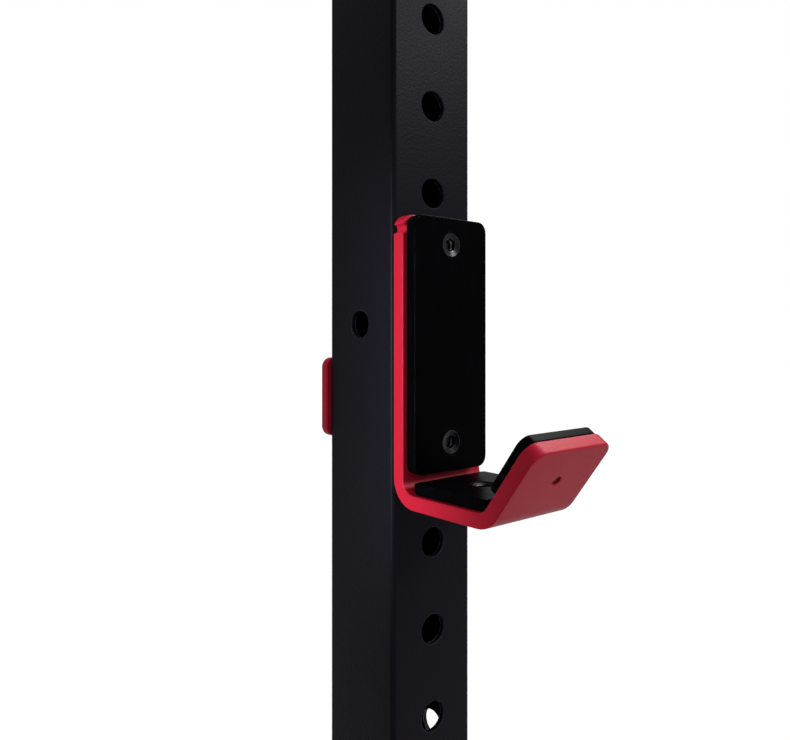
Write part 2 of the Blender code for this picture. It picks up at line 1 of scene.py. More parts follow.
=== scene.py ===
"""Looks of a free-standing power rack: black powder-coated square tube, red J-cups lined in
black plastic, and pin-and-pipe safeties. Metres, +Z up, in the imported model's own frame."""

import json
from math import asin, cos, pi, radians, sin, tan

import bmesh
import bpy
from mathutils import Matrix, Vector


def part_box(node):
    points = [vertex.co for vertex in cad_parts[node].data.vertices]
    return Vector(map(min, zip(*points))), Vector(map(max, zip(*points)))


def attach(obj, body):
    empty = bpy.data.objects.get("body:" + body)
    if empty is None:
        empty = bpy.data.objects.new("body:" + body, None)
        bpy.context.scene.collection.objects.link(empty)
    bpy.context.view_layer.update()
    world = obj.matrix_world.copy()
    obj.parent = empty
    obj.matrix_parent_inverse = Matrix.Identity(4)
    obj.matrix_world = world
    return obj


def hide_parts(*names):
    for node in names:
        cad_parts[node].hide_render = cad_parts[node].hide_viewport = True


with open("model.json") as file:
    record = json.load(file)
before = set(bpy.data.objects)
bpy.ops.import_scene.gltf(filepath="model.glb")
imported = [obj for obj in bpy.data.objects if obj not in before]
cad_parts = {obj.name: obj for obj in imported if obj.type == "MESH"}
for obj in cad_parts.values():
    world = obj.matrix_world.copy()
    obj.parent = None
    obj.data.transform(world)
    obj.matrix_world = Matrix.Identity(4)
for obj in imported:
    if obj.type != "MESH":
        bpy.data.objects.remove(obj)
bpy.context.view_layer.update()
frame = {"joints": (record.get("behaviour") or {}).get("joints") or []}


# Uprights. Cold-formed 60 mm square steel tube with 3 mm walls, laser-cut with pin holes front
# and back and wider-spaced holes on the sides, welded to a foot plate and then powder coated
# black, which leaves a thin satin skin with a fine orange-peel texture.

SIDES = (("right", 1), ("left", -1))
ENDS = (("front", -1), ("rear", 1))
post_low, post_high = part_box("upright_front_right")
POST_HALF = (post_high.x - post_low.x) / 2
POST_X = (post_high.x + post_low.x) / 2
POST_Y = -(post_high.y + post_low.y) / 2
POST_TOP = post_high.z
GAP = 0.0003  # between pieces that lie on each other
TUBE_WALL = 0.003
TUBE_CORNER = 0.003
TUBE_INNER_CORNER = 0.001
CORNER_STEPS = 6
PLATE = 0.008
PLATE_LENGTH = post_high.y - post_low.y
PLATE_CORNER = 0.004
PLATE_EDGE = 0.0008
PIN_HOLE = 0.017
PIN_LOWEST = 0.350
PIN_SPACING = 0.050
PIN_COUNT = 31
SIDE_HOLE = 0.016
SIDE_LOWEST = 0.425
SIDE_SPACING = 0.250
SIDE_COUNT = 6
HOLE_RIM = 0.0006
ROUND_STEPS = 32
WELD_BEAD = 0.0035
WELD_RIPPLE = 0.0024
WELD_SQUASH = 0.8
COAT_PATCH_SIZE = 0.060
COAT_RUB_SIZE = 0.009
# Width of the pale edge band: partly wear, partly painted highlight.
COAT_WEAR_HIGHLIGHT_EDGE = 0.0008
COAT_PEEL_SPACING = 0.0016
COAT_PEEL_HEIGHT = 0.0002
COAT_GLOSS_SPREAD = 0.06
QUARTER_TURNS = [radians(angle) for angle in (0, 30, 60, 90)]
SMOOTH_ANGLE = radians(38)
SAME_WAY = 0.9  # least dot product of two directions that count as one
SAME_PLACE = 0.000001
MERGE_REACH = 0.00002


def linear(code):
    """Linear RGBA of an sRGB colour written as hex."""
    channels = [int(code[i:i + 2], 16) / 255 for i in (1, 3, 5)]
    return (*(c / 12.92 if c <= 0.04045 else ((c + 0.055) / 1.055) ** 2.4 for c in channels), 1.0)


def new_material(name):
    """An empty node material."""
    material = bpy.data.materials.new(name)
    material.use_nodes = True
    material.node_tree.nodes.clear()
    return material


def add_node(owner, kind, settings=None, links=None):
    """Add a shader node, set its attributes and sockets, and link its sockets to outputs."""
    made = owner.node_tree.nodes.new(kind)
    for key, value in (settings or {}).items():
        if isinstance(key, int) or key in made.inputs:
            made.inputs[key].default_value = value
        else:
            setattr(made, key, value)
    for key, output in (links or {}).items():
        owner.node_tree.links.new(output, made.inputs[key])
    return made


def edge_mask(material, width, breaks):
    """A factor that is 1 within a width of an edge, broken up by a noise output."""
    flat = add_node(material, "ShaderNodeNewGeometry").outputs["Normal"]
    soft = add_node(material, "ShaderNodeBevel", {"samples": 6, "Radius": width}).outputs["Normal"]
    same = add_node(material, "ShaderNodeVectorMath", {"operation": 'DOT_PRODUCT'}, {0: flat, 1: soft})
    edge = add_node(material, "ShaderNodeMapRange", {"From Min": 0.99, "From Max": 0.85},
                    {"Value": same.outputs["Value"]})
    patchy = add_node(material, "ShaderNodeMapRange", {"From Min": 0.35, "From Max": 0.65},
                      {"Value": breaks})
    both = add_node(material, "ShaderNodeMath", {"operation": 'MULTIPLY'},
                    {0: edge.outputs["Result"], 1: patchy.outputs["Result"]})
    return both.outputs["Value"]


def powder_coat(name, color, deep_color, wear_and_highlight_color, peel, specular, roughness):
    """Baked powder: an even colour, a little deeper in patches, with orange peel and pale edges.

    The peel is a bump with 1.6 mm between its crests, the tone and the gloss wander over 60 mm, and
    the edges are paler, partly from wear where pins, plates and hands rub them and partly as a
    painted highlight where the rounded edges would catch the lamps.
    """
    material = new_material(name)
    place = add_node(material, "ShaderNodeTexCoord").outputs["Object"]
    patches = add_node(material, "ShaderNodeTexNoise", {"Scale": 1 / COAT_PATCH_SIZE, "Detail": 3.0},
                       {"Vector": place})
    tone = add_node(material, "ShaderNodeMix",
                    {"data_type": 'RGBA', 6: linear(color), 7: linear(deep_color)},
                    {0: patches.outputs["Fac"]})
    rubs = add_node(material, "ShaderNodeTexNoise", {"Scale": 1 / COAT_RUB_SIZE, "Detail": 5.0},
                    {"Vector": place})
    # Paler edges: partly wear, partly a painted highlight where the rounded edges would catch the
    # lamps.
    highlight_and_wear = edge_mask(material, COAT_WEAR_HIGHLIGHT_EDGE, rubs.outputs["Fac"])
    worn = add_node(material, "ShaderNodeMix", {"data_type": 'RGBA', 7: linear(wear_and_highlight_color)},
                    {0: highlight_and_wear, 6: tone.outputs[2]})
    gloss = add_node(material, "ShaderNodeMapRange",
                     {"To Min": roughness - COAT_GLOSS_SPREAD, "To Max": roughness + COAT_GLOSS_SPREAD},
                     {"Value": patches.outputs["Fac"]})
    crests = add_node(material, "ShaderNodeTexNoise", {"Scale": 1 / COAT_PEEL_SPACING, "Detail": 1.5},
                      {"Vector": place})
    bump = add_node(material, "ShaderNodeBump", {"Strength": peel, "Distance": COAT_PEEL_HEIGHT},
                    {"Height": crests.outputs["Fac"]})
    shader = add_node(material, "ShaderNodeBsdfPrincipled", {"Specular IOR Level": specular},
                      {"Base Color": worn.outputs[2], "Roughness": gloss.outputs["Result"],
                       "Normal": bump.outputs["Normal"]})
    add_node(material, "ShaderNodeOutputMaterial", None, {"Surface": shader.outputs["BSDF"]})
    return material


def new_object(name, data):
    """Put an object with a mesh, a lamp or a camera into the scene."""
    made = bpy.data.objects.new(name, data)
    bpy.context.scene.collection.objects.link(made)
    return made


def new_piece(bm, name, material, body, *nodes):
    """Make a bmesh a piece that rides on a body and stands for CAD nodes.

    The record's finishes have the materials' names, with underscores.
    """
    bmesh.ops.recalc_face_normals(bm, faces=bm.faces)
    mesh = bpy.data.meshes.new(name)
    bm.to_mesh(mesh)
    bm.free()
    mesh.shade_smooth()
    mesh.set_sharp_from_angle(angle=SMOOTH_ANGLE)
    mesh.materials.append(material)
    piece = new_object(name, mesh)
    piece.modifiers.new("Flat faces stay flat", 'WEIGHTED_NORMAL').keep_sharp = True
    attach(piece, body)
    if nodes:
        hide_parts(*nodes)


def add_copy(bm, pattern, matrix):
    """Add a placed copy of another bmesh, turned inside out again if the matrix mirrors it."""
    mesh = bpy.data.meshes.new("copy")
    pattern.to_mesh(mesh)
    mesh.transform(matrix)
    if matrix.is_negative:
        mesh.flip_normals()
    bm.from_mesh(mesh)
    bpy.data.meshes.remove(mesh)


def place_piece(pattern, matrix, name, material, body, node):
    """Make a placed copy of a finished bmesh a piece."""
    bm = bmesh.new()
    add_copy(bm, pattern, matrix)
    new_piece(bm, name, material, body, node)


def at(place):
    """The shift that takes the origin to a place."""
    return Matrix.Translation(place)


def facing(normal):
    """The turn that takes +Z to a normal."""
    return Vector(normal).to_track_quat('Z', 'Y').to_matrix().to_4x4()


def spun(profile):
    """A closed or open turned shape about Z, from points of radius and height."""
    bm = bmesh.new()
    verts = [bm.verts.new((0, radius, height)) for radius, height in profile]
    edges = [bm.edges.new(pair) for pair in zip(verts, verts[1:])]
    bmesh.ops.spin(bm, geom=verts + edges, cent=(0, 0, 0), axis=(0, 0, 1), angle=2 * pi,
                   steps=ROUND_STEPS, use_merge=True)
    bmesh.ops.remove_doubles(bm, verts=bm.verts, dist=SAME_PLACE)
    return bm


def quarter(radius, height, size, outward):
    """Points of a rounded edge, from level with a height to upright at a radius.

    Outward is 1 where the level face lies outside the radius, as round a hole, and -1 inside it.
    """
    return [(radius + outward * size * (1 - sin(turn)), height - size * (1 - cos(turn)))
            for turn in QUARTER_TURNS]


def edges_at(verts):
    """The edges that end at some vertices."""
    return list(dict.fromkeys(edge for vert in verts for edge in vert.link_edges))


def of_kind(items, kind):
    """The vertices, edges or faces in an operator's result."""
    return [item for item in items if isinstance(item, kind)]


def fill_round(bm, face, holes):
    """Replace a flat face by one with round holes, each a centre and a radius."""
    rim = list(face.edges)
    turn = facing(face.normal)
    bmesh.ops.delete(bm, geom=[face], context='FACES_ONLY')
    for centre, radius in holes:
        ring = bmesh.ops.create_circle(bm, segments=ROUND_STEPS, radius=radius,
                                       matrix=at(centre) @ turn)
        rim += edges_at(ring["verts"])
    bmesh.ops.triangle_fill(bm, use_beauty=True, edges=rim)


def add_skin(bm, half, corner, low, high, holes):
    """One skin of a square tube along Z. Each hole is a normal, a height and a radius."""
    old = set(bm.faces)
    middle = at((0, 0, (low + high) / 2))
    size = Matrix.Diagonal((2 * half, 2 * half, high - low, 1))
    made = bmesh.ops.create_cube(bm, size=1.0, matrix=middle @ size)
    bm.normal_update()
    ends = {face for vert in made["verts"] for face in vert.link_faces if abs(face.normal.z) > SAME_WAY}
    bmesh.ops.delete(bm, geom=list(ends), context='FACES_ONLY')
    standing = [edge for edge in edges_at(made["verts"])
                if edge.verts[0].co.xy == edge.verts[1].co.xy]
    bmesh.ops.bevel(bm, geom=standing, offset=corner, segments=CORNER_STEPS, profile=0.5,
                    affect='EDGES', material=-1)
    bm.normal_update()
    walls = [face for face in bm.faces if face not in old and face.calc_area() > half * (high - low)]
    for wall in walls:
        here = [(wall.normal * half + Vector((0, 0, z)), radius)
                for normal, z, radius in holes if wall.normal.dot(normal) > SAME_WAY]
        if here:
            fill_round(bm, wall, here)


def square_tube(half, low, high, holes=()):
    """A square tube along Z, open at its ends, with rounded holes through its walls."""
    bm = bmesh.new()
    add_skin(bm, half, TUBE_CORNER, low, high, [(n, z, radius + HOLE_RIM) for n, z, radius in holes])
    add_skin(bm, half - TUBE_WALL, TUBE_INNER_CORNER, low, high, holes)
    for size in {radius for _, _, radius in holes}:
        collar = spun([*quarter(size, 0, HOLE_RIM, 1), (size, -TUBE_WALL)])
        for normal, z, radius in holes:
            if radius == size:
                place = at(Vector(normal) * half + Vector((0, 0, z)))
                add_copy(bm, collar, place @ facing(normal))
        collar.free()
    bmesh.ops.remove_doubles(bm, verts=bm.verts, dist=MERGE_REACH)
    for end in (low, high):
        rims = [edge for edge in bm.edges
                if all(abs(vert.co.z - end) < MERGE_REACH for vert in edge.verts)]
        bmesh.ops.triangle_fill(bm, use_beauty=True, edges=rims)
    return bm


def sheet(width, length, corner, rounded_start=True):
    """A flat rectangle on XY from Y = 0 to -length, rounded at both ends or only at the far one."""
    bm = bmesh.new()
    bmesh.ops.create_grid(bm, x_segments=1, y_segments=1, size=0.5)
    bmesh.ops.translate(bm, vec=(0, -0.5, 0), verts=bm.verts)
    bmesh.ops.scale(bm, vec=(width, length, 1), verts=bm.verts)
    rounded = [vert for vert in bm.verts if rounded_start or vert.co.y < -length / 2]
    bmesh.ops.bevel(bm, geom=rounded, offset=corner, segments=CORNER_STEPS, profile=0.5,
                    affect='VERTICES', material=-1)
    return bm


def thicken(bm, thickness, edge, under_edge):
    """Raise a one-face sheet into a plate with rounded edges. Gives its upper and lower face."""
    under = bm.faces[:]
    bmesh.ops.translate(bm, vec=(0, 0, under_edge), verts=bm.verts)
    raised = bmesh.ops.extrude_face_region(bm, geom=under)["geom"]
    upper = of_kind(raised, bmesh.types.BMFace)
    bmesh.ops.translate(bm, vec=(0, 0, thickness - edge - under_edge),
                        verts=of_kind(raised, bmesh.types.BMVert))
    bmesh.ops.recalc_face_normals(bm, faces=bm.faces)
    for faces, size in ((upper, edge), (under, under_edge)):
        for a, b in zip(QUARTER_TURNS, QUARTER_TURNS[1:]):
            bmesh.ops.inset_region(bm, faces=faces, use_boundary=True, use_even_offset=True,
                                   thickness=size * (cos(a) - cos(b)), depth=size * (sin(b) - sin(a)))
    bm.normal_update()
    return upper[0], under[0]


def add_weld(bm, bead, squash, places):
    """Add a weld's overlapping ripples, each a ball that is squashed along the seam."""
    ripple = bmesh.new()
    shape = Matrix.Diagonal((*squash, 1))
    bmesh.ops.create_uvsphere(ripple, u_segments=8, v_segments=6, radius=bead, matrix=shape)
    for place in places:
        add_copy(bm, ripple, place)
    ripple.free()


# The pale edge colour is partly wear and partly a painted highlight on the posts' edges and hole rims.
black_powder_coat = powder_coat("black powder coat", "#14121C", "#100E17", "#98979E",
                                peel=0.5, specular=0.055, roughness=0.40)
front, back, right, left = (0, -1, 0), (0, 1, 0), (1, 0, 0), (-1, 0, 0)
ladder = [(normal, PIN_LOWEST + index * PIN_SPACING, PIN_HOLE / 2)
          for index in range(PIN_COUNT) for normal in (front, back)]
ladder += [(normal, SIDE_LOWEST + index * SIDE_SPACING, SIDE_HOLE / 2)
           for index in range(SIDE_COUNT) for normal in (right, left)]
post_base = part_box("base_runner_right")[1].z + GAP
post = square_tube(POST_HALF, post_base + PLATE, POST_TOP, ladder)
tube_weld = bmesh.new()
ripples = round(2 * POST_HALF / WELD_RIPPLE)
add_weld(tube_weld, WELD_BEAD, (WELD_SQUASH, 1, 1), [
    Matrix.Rotation(wall * pi / 2, 4, 'Z') @ at((POST_HALF * (2 * index / ripples - 1), POST_HALF, 0))
    for wall in range(4) for index in range(ripples)])
flange = sheet(2 * POST_HALF, PLATE_LENGTH, PLATE_CORNER)
thicken(flange, PLATE, PLATE_EDGE, PLATE_EDGE)
add_copy(post, flange, at((0, PLATE_LENGTH / 2, post_base)))
add_copy(post, tube_weld, at((0, 0, post_base + PLATE)))
for end, y_sign in ENDS:
    for side, x_sign in SIDES:
        place = at((x_sign * POST_X, y_sign * POST_Y, 0))
        place_piece(post, place, f"post_{end}_{side}", black_powder_coat, "frame",
                    f"upright_{end}_{side}")


# Hexagon bolts. Blackened steel heads, 24 mm across, forged with a 30 degree chamfer, hold the
# foot plates and the ties' end plates. Domed carriage-bolt heads show on the far faces.

BOLT_ACROSS = 0.024
BOLT_HEAD = 0.010
BOLT_SHOULDER = 0.0006
BOLT_CROWN = 0.93  # of the width across flats
BOLT_DISH_RIM = 0.12  # of the width across flats
BOLT_DISH = 0.0004
BOLT_SPREAD = 0.100
CROWN_STEPS = 24
HEXAGON_FLATS = cos(radians(30))  # width across flats over width across corners
CHAMFER_SLOPE = tan(radians(30))
DOME_WIDTH = 0.026
DOME_HEIGHT = 0.0048
DOME_EDGE = 0.001
OXIDE_BLOTCH_SIZE = 0.004
# Width of the pale edge band: partly bare metal, partly painted highlight.
OXIDE_WEAR_HIGHLIGHT_EDGE = 0.0005
OXIDE_PIT_DEPTH = 0.0001


def blackened_steel(name, color, dull_color, bare_and_highlight_color):
    """Black-oxide steel: dark and oily, duller in blotches, and pale on its edges.

    The pale edges are partly bare metal where the edges are worn and partly a painted highlight.
    """
    material = new_material(name)
    place = add_node(material, "ShaderNodeTexCoord").outputs["Object"]
    blotches = add_node(material, "ShaderNodeTexNoise", {"Scale": 1 / OXIDE_BLOTCH_SIZE, "Detail": 4.0},
                        {"Vector": place})
    gloss = add_node(material, "ShaderNodeMapRange", {"To Min": 0.18, "To Max": 0.36},
                     {"Value": blotches.outputs["Fac"]})
    tone = add_node(material, "ShaderNodeMix",
                    {"data_type": 'RGBA', 6: linear(color), 7: linear(dull_color)},
                    {0: blotches.outputs["Fac"]})
    # Pale rims and edges: partly bare metal, partly a painted highlight.
    highlight_and_wear = edge_mask(material, OXIDE_WEAR_HIGHLIGHT_EDGE, blotches.outputs["Fac"])
    worn = add_node(material, "ShaderNodeMix", {"data_type": 'RGBA', 7: linear(bare_and_highlight_color)},
                    {0: highlight_and_wear, 6: tone.outputs[2]})
    bump = add_node(material, "ShaderNodeBump", {"Strength": 0.15, "Distance": OXIDE_PIT_DEPTH},
                    {"Height": blotches.outputs["Fac"]})
    shader = add_node(material, "ShaderNodeBsdfPrincipled", {"Metallic": 1.0},
                      {"Base Color": worn.outputs[2], "Roughness": gloss.outputs["Result"],
                       "Normal": bump.outputs["Normal"]})
    add_node(material, "ShaderNodeOutputMaterial", None, {"Surface": shader.outputs["BSDF"]})
    return material


def hexagon_head():
    """A bolt head that stands on XY, its corners chamfered at 30 degrees, with a shallow dish."""
    bm = bmesh.new()
    hexagon = bmesh.ops.create_circle(bm, segments=6, radius=BOLT_ACROSS / 2 / HEXAGON_FLATS)
    bmesh.ops.subdivide_edges(bm, edges=edges_at(hexagon["verts"]), cuts=3)
    top = bmesh.ops.extrude_edge_only(bm, edges=bm.edges[:])["geom"]
    for vert in of_kind(top, bmesh.types.BMVert):
        beyond_flat = vert.co.xy.length - BOLT_ACROSS / 2
        vert.co.z = BOLT_HEAD - BOLT_SHOULDER - CHAMFER_SLOPE * beyond_flat
    outer = of_kind(top, bmesh.types.BMEdge)
    circle = bmesh.ops.create_circle(bm, cap_ends=True, segments=CROWN_STEPS,
                                     radius=BOLT_ACROSS / 2 * BOLT_CROWN, matrix=at((0, 0, BOLT_HEAD)))
    bmesh.ops.bridge_loops(bm, edges=outer + edges_at(circle["verts"]))
    dish = [face for face in bm.faces if len(face.verts) == CROWN_STEPS]
    bmesh.ops.inset_region(bm, faces=dish, thickness=BOLT_ACROSS * BOLT_DISH_RIM, depth=-BOLT_DISH)
    bmesh.ops.edgeloop_fill(bm, edges=[edge for edge in bm.edges if edge.is_boundary])
    return bm


def dome_head():
    """A carriage-bolt head that stands on XY."""
    turns = [radians(angle) for angle in (90, 75, 60, 45, 30, 15, 0)]
    rise = DOME_HEIGHT - DOME_EDGE
    crown = [(DOME_WIDTH / 2 * sin(turn), DOME_EDGE + rise * cos(turn)) for turn in turns]
    return spun([(0, 0), (DOME_WIDTH / 2, 0), *crown])


# The pale edge colour is partly bare metal and partly a painted highlight on the screw and bolt rims.
black_oxide_screw = blackened_steel("black oxide screw", "#1E1E21", "#2E2E32", "#A0A0A4")
hexagon = hexagon_head()
foot_bolts = bmesh.new()
for _, y_sign in ENDS:
    for _, x_sign in SIDES:
        for spread in (-BOLT_SPREAD / 2, BOLT_SPREAD / 2):
            spot = (x_sign * POST_X, y_sign * POST_Y + spread, post_base + PLATE)
            add_copy(foot_bolts, hexagon, at(spot))
new_piece(foot_bolts, "foot_bolts", black_oxide_screw, "frame")


# End plugs. Injection-moulded black plastic caps with a rounded rim and a shallow panel, pressed
# into the open ends of the uprights and of the base runners.

PLUG_HEAD = 0.004
PLUG_RIM = 0.0015
PLUG_MARGIN = 0.009
PLUG_PANEL = 0.0006
PLUG_SHANK = 0.018
PLUG_PLAY = 0.0005
GRAIN_SIZE = 0.0006
GRAIN_HEIGHT = 0.0001
SCUFF_SIZE = 0.006
SCUFF_STRETCH = 0.2
# Width of the pale edge band: partly wear, partly painted highlight.
PLASTIC_WEAR_HIGHLIGHT_EDGE = 0.0006


def moulded_plastic(name, color, grain, specular, roughness, scuff_color, edge_wear_and_highlight_color):
    """Moulded plastic: a fine grain in the skin, faint scuffs where it rubs, and paler edges.

    The grain is 0.6 mm across and the scuffs are long in one direction. The paler edges are partly
    wear and partly a painted highlight.
    """
    material = new_material(name)
    place = add_node(material, "ShaderNodeTexCoord").outputs["Object"]
    skin = add_node(material, "ShaderNodeTexNoise", {"Scale": 1 / GRAIN_SIZE, "Detail": 2.0},
                    {"Vector": place})
    stretched = add_node(material, "ShaderNodeMapping", {"Scale": (1.0, 1.0, SCUFF_STRETCH)},
                         {"Vector": place})
    rubs = add_node(material, "ShaderNodeTexNoise",
                    {"Scale": 1 / SCUFF_SIZE, "Detail": 6.0, "Roughness": 0.65},
                    {"Vector": stretched.outputs["Vector"]})
    worn = add_node(material, "ShaderNodeMapRange", {"From Min": 0.55, "From Max": 0.8, "To Max": 0.5},
                    {"Value": rubs.outputs["Fac"]})
    tone = add_node(material, "ShaderNodeMix",
                    {"data_type": 'RGBA', 6: linear(color), 7: linear(scuff_color)},
                    {0: worn.outputs["Result"]})
    # Paler edges: partly wear, partly a painted highlight.
    highlight_and_wear = edge_mask(material, PLASTIC_WEAR_HIGHLIGHT_EDGE, rubs.outputs["Fac"])
    edged = add_node(material, "ShaderNodeMix", {"data_type": 'RGBA', 7: linear(edge_wear_and_highlight_color)},
                     {0: highlight_and_wear, 6: tone.outputs[2]})
    gloss = add_node(material, "ShaderNodeMapRange",
                     {"To Min": roughness - 0.06, "To Max": roughness + 0.08},
                     {"Value": rubs.outputs["Fac"]})
    bump = add_node(material, "ShaderNodeBump", {"Strength": grain, "Distance": GRAIN_HEIGHT},
                    {"Height": skin.outputs["Fac"]})
    shader = add_node(material, "ShaderNodeBsdfPrincipled", {"Specular IOR Level": specular},
                      {"Base Color": edged.outputs[2], "Roughness": gloss.outputs["Result"],
                       "Normal": bump.outputs["Normal"]})
    add_node(material, "ShaderNodeOutputMaterial", None, {"Surface": shader.outputs["BSDF"]})
    return material


def end_plug():
    """A plug's head, which stands on XY, and its shank below."""
    bm = sheet(2 * POST_HALF, 2 * POST_HALF, TUBE_CORNER)
    upper, _ = thicken(bm, PLUG_HEAD, PLUG_RIM, PLATE_EDGE / 2)
    bmesh.ops.delete(bm, geom=[upper], context='FACES_ONLY')
    panel_half = POST_HALF - PLUG_MARGIN
    panel = sheet(2 * panel_half, 2 * panel_half, TUBE_CORNER)
    bmesh.ops.inset_region(panel, faces=panel.faces[:], use_boundary=True, use_even_offset=True,
                           thickness=PLUG_PANEL, depth=-PLUG_PANEL)
    add_copy(bm, panel, at((0, -PLUG_MARGIN, PLUG_HEAD)))
    panel.free()
    bmesh.ops.bridge_loops(bm, edges=[edge for edge in bm.edges if edge.is_boundary])
    bmesh.ops.translate(bm, vec=(0, POST_HALF, 0), verts=bm.verts)
    shank_half = POST_HALF - TUBE_WALL - PLUG_PLAY
    shank = sheet(2 * shank_half, 2 * shank_half, TUBE_INNER_CORNER)
    thicken(shank, PLUG_SHANK, PLATE_EDGE, PLATE_EDGE)
    add_copy(bm, shank, at((0, shank_half, -PLUG_SHANK)))
    shank.free()
    return bm


# The pale edge colour is partly wear and partly a painted highlight.
plug_plastic = moulded_plastic("plug plastic", "#101013", grain=0.5, specular=0.1, roughness=0.5,
                               scuff_color="#242428", edge_wear_and_highlight_color="#2C2C30")
plug = end_plug()
runner_low, runner_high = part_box("base_runner_right")
runner_z = (runner_low.z + runner_high.z) / 2
for end, y_sign in ENDS:
    for side, x_sign in SIDES:
        place = at((x_sign * POST_X, y_sign * POST_Y, POST_TOP + GAP))
        place_piece(plug, place, f"cap_{end}_{side}", plug_plastic, "frame",
                    f"upright_plug_{end}_{side}")
        place = at((x_sign * POST_X, y_sign * (runner_high.y + GAP), runner_z))
        place_piece(plug, place @ facing((0, y_sign, 0)), f"runner_cap_{end}_{side}", plug_plastic,
                    "frame", f"runner_plug_{end}_{side}")


# Base runners and feet. Two 60 mm tubes lie on moulded rubber feet with rounded ends, glued
# under them, and the uprights' foot plates are bolted down on top.

FOOT_ROUND = 0.010
FOOT_EDGE = 0.0012
PEBBLE_SIZE = 0.0012
PEBBLE_HEIGHT = 0.0002
DUST_PATCH_SIZE = 0.012


def soft_rubber(name, color, dust_color):
    """Black rubber: matt, with a fine pebbled skin and dust that stays in its hollows."""
    material = new_material(name)
    place = add_node(material, "ShaderNodeTexCoord").outputs["Object"]
    pebbles = add_node(material, "ShaderNodeTexVoronoi", {"Scale": 1 / PEBBLE_SIZE}, {"Vector": place})
    dust = add_node(material, "ShaderNodeTexNoise", {"Scale": 1 / DUST_PATCH_SIZE, "Detail": 5.0},
                    {"Vector": place})
    dusty = add_node(material, "ShaderNodeMapRange",
                     {"From Min": 0.45, "From Max": 0.8, "To Max": 0.35},
                     {"Value": dust.outputs["Fac"]})
    tone = add_node(material, "ShaderNodeMix",
                    {"data_type": 'RGBA', 6: linear(color), 7: linear(dust_color)},
                    {0: dusty.outputs["Result"]})
    bump = add_node(material, "ShaderNodeBump", {"Strength": 0.4, "Distance": PEBBLE_HEIGHT},
                    {"Height": pebbles.outputs["Distance"]})
    shader = add_node(material, "ShaderNodeBsdfPrincipled",
                      {"Specular IOR Level": 0.25, "Roughness": 0.75},
                      {"Base Color": tone.outputs[2], "Normal": bump.outputs["Normal"]})
    add_node(material, "ShaderNodeOutputMaterial", None, {"Surface": shader.outputs["BSDF"]})
    return material


foot_rubber = soft_rubber("foot rubber", "#101012", "#3A3936")
runner = square_tube(POST_HALF, runner_low.y, runner_high.y)
foot_low, foot_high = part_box("rubber_foot_front_right")
foot_length = foot_high.y - foot_low.y
foot = sheet(2 * POST_HALF, foot_length, FOOT_ROUND)
thicken(foot, foot_high.z, FOOT_EDGE, FOOT_EDGE)
for side, x_sign in SIDES:
    place = at((x_sign * POST_X, 0, runner_z)) @ facing((0, 1, 0))
    place_piece(runner, place, f"runner_{side}", black_powder_coat, "frame", f"base_runner_{side}")
    for end, y_sign in ENDS:
        middle = y_sign * abs(foot_low.y + foot_high.y) / 2
        place = at((x_sign * POST_X, middle + foot_length / 2, 0))
        place_piece(foot, place, f"foot_{end}_{side}", foot_rubber, "frame",
                    f"rubber_foot_{end}_{side}")


# Top rails and crossmembers. 60 mm tubes with a welded plate at each end, bolted between the
# uprights at the top and between the runners at the rear.

tie_bolts = bmesh.new()
bolt_domes = bmesh.new()
dome = dome_head()


def add_tie(name, node, tube, weld, middle, span, turn):
    """A tie along its own X between two end plates, with its bolts, placed and made a piece."""
    place = at(middle) @ turn
    reach = span / 2 - GAP - PLATE
    bm = bmesh.new()
    add_copy(bm, tube, place @ facing((1, 0, 0)))
    for sign in (-1, 1):
        seat = place @ at((sign * reach, 0, 0)) @ facing((sign, 0, 0))
        add_copy(bm, flange, seat @ at((0, PLATE_LENGTH / 2, 0)))
        add_copy(bm, weld, seat @ Matrix.Rotation(pi, 4, 'X'))
        for spread in (-BOLT_SPREAD / 2, BOLT_SPREAD / 2):
            bolt = place @ at((sign * reach, 0, spread))
            add_copy(tie_bolts, hexagon, bolt @ facing((-sign, 0, 0)))
            outer = place @ at((sign * (span / 2 + 2 * POST_HALF), 0, spread))
            add_copy(bolt_domes, dome, outer @ facing((sign, 0, 0)))
    new_piece(bm, name, black_powder_coat, "frame", node)


tie_z = sum(corner.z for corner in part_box("top_crossmember_rear")) / 2
across = 2 * (POST_X - POST_HALF)
along = 2 * (POST_Y - POST_HALF)
wide_tube = square_tube(POST_HALF, -across / 2 + PLATE, across / 2 - PLATE)
long_tube = square_tube(POST_HALF, -along / 2 + PLATE, along / 2 - PLATE)
unturned = Matrix.Identity(4)
plates_level = Matrix.Rotation(pi / 2, 4, 'X')
lengthways = Matrix.Rotation(pi / 2, 4, 'Z')
add_tie("crossmember_top", "top_crossmember_rear", wide_tube, tube_weld,
        (0, POST_Y, tie_z), across, unturned)
add_tie("crossmember_base", "base_crossmember_rear", wide_tube, tube_weld,
        (0, POST_Y, runner_z), across, plates_level)
for side, x_sign in SIDES:
    add_tie(f"rail_{side}", f"top_rail_{side}", long_tube, tube_weld,
            (x_sign * POST_X, 0, tie_z), along, lengthways)


# Pull-up bar. A round 32 mm steel tube, 3 mm thick, welded between two plates like the other
# ties, coated black with them and bolted between the front uprights.

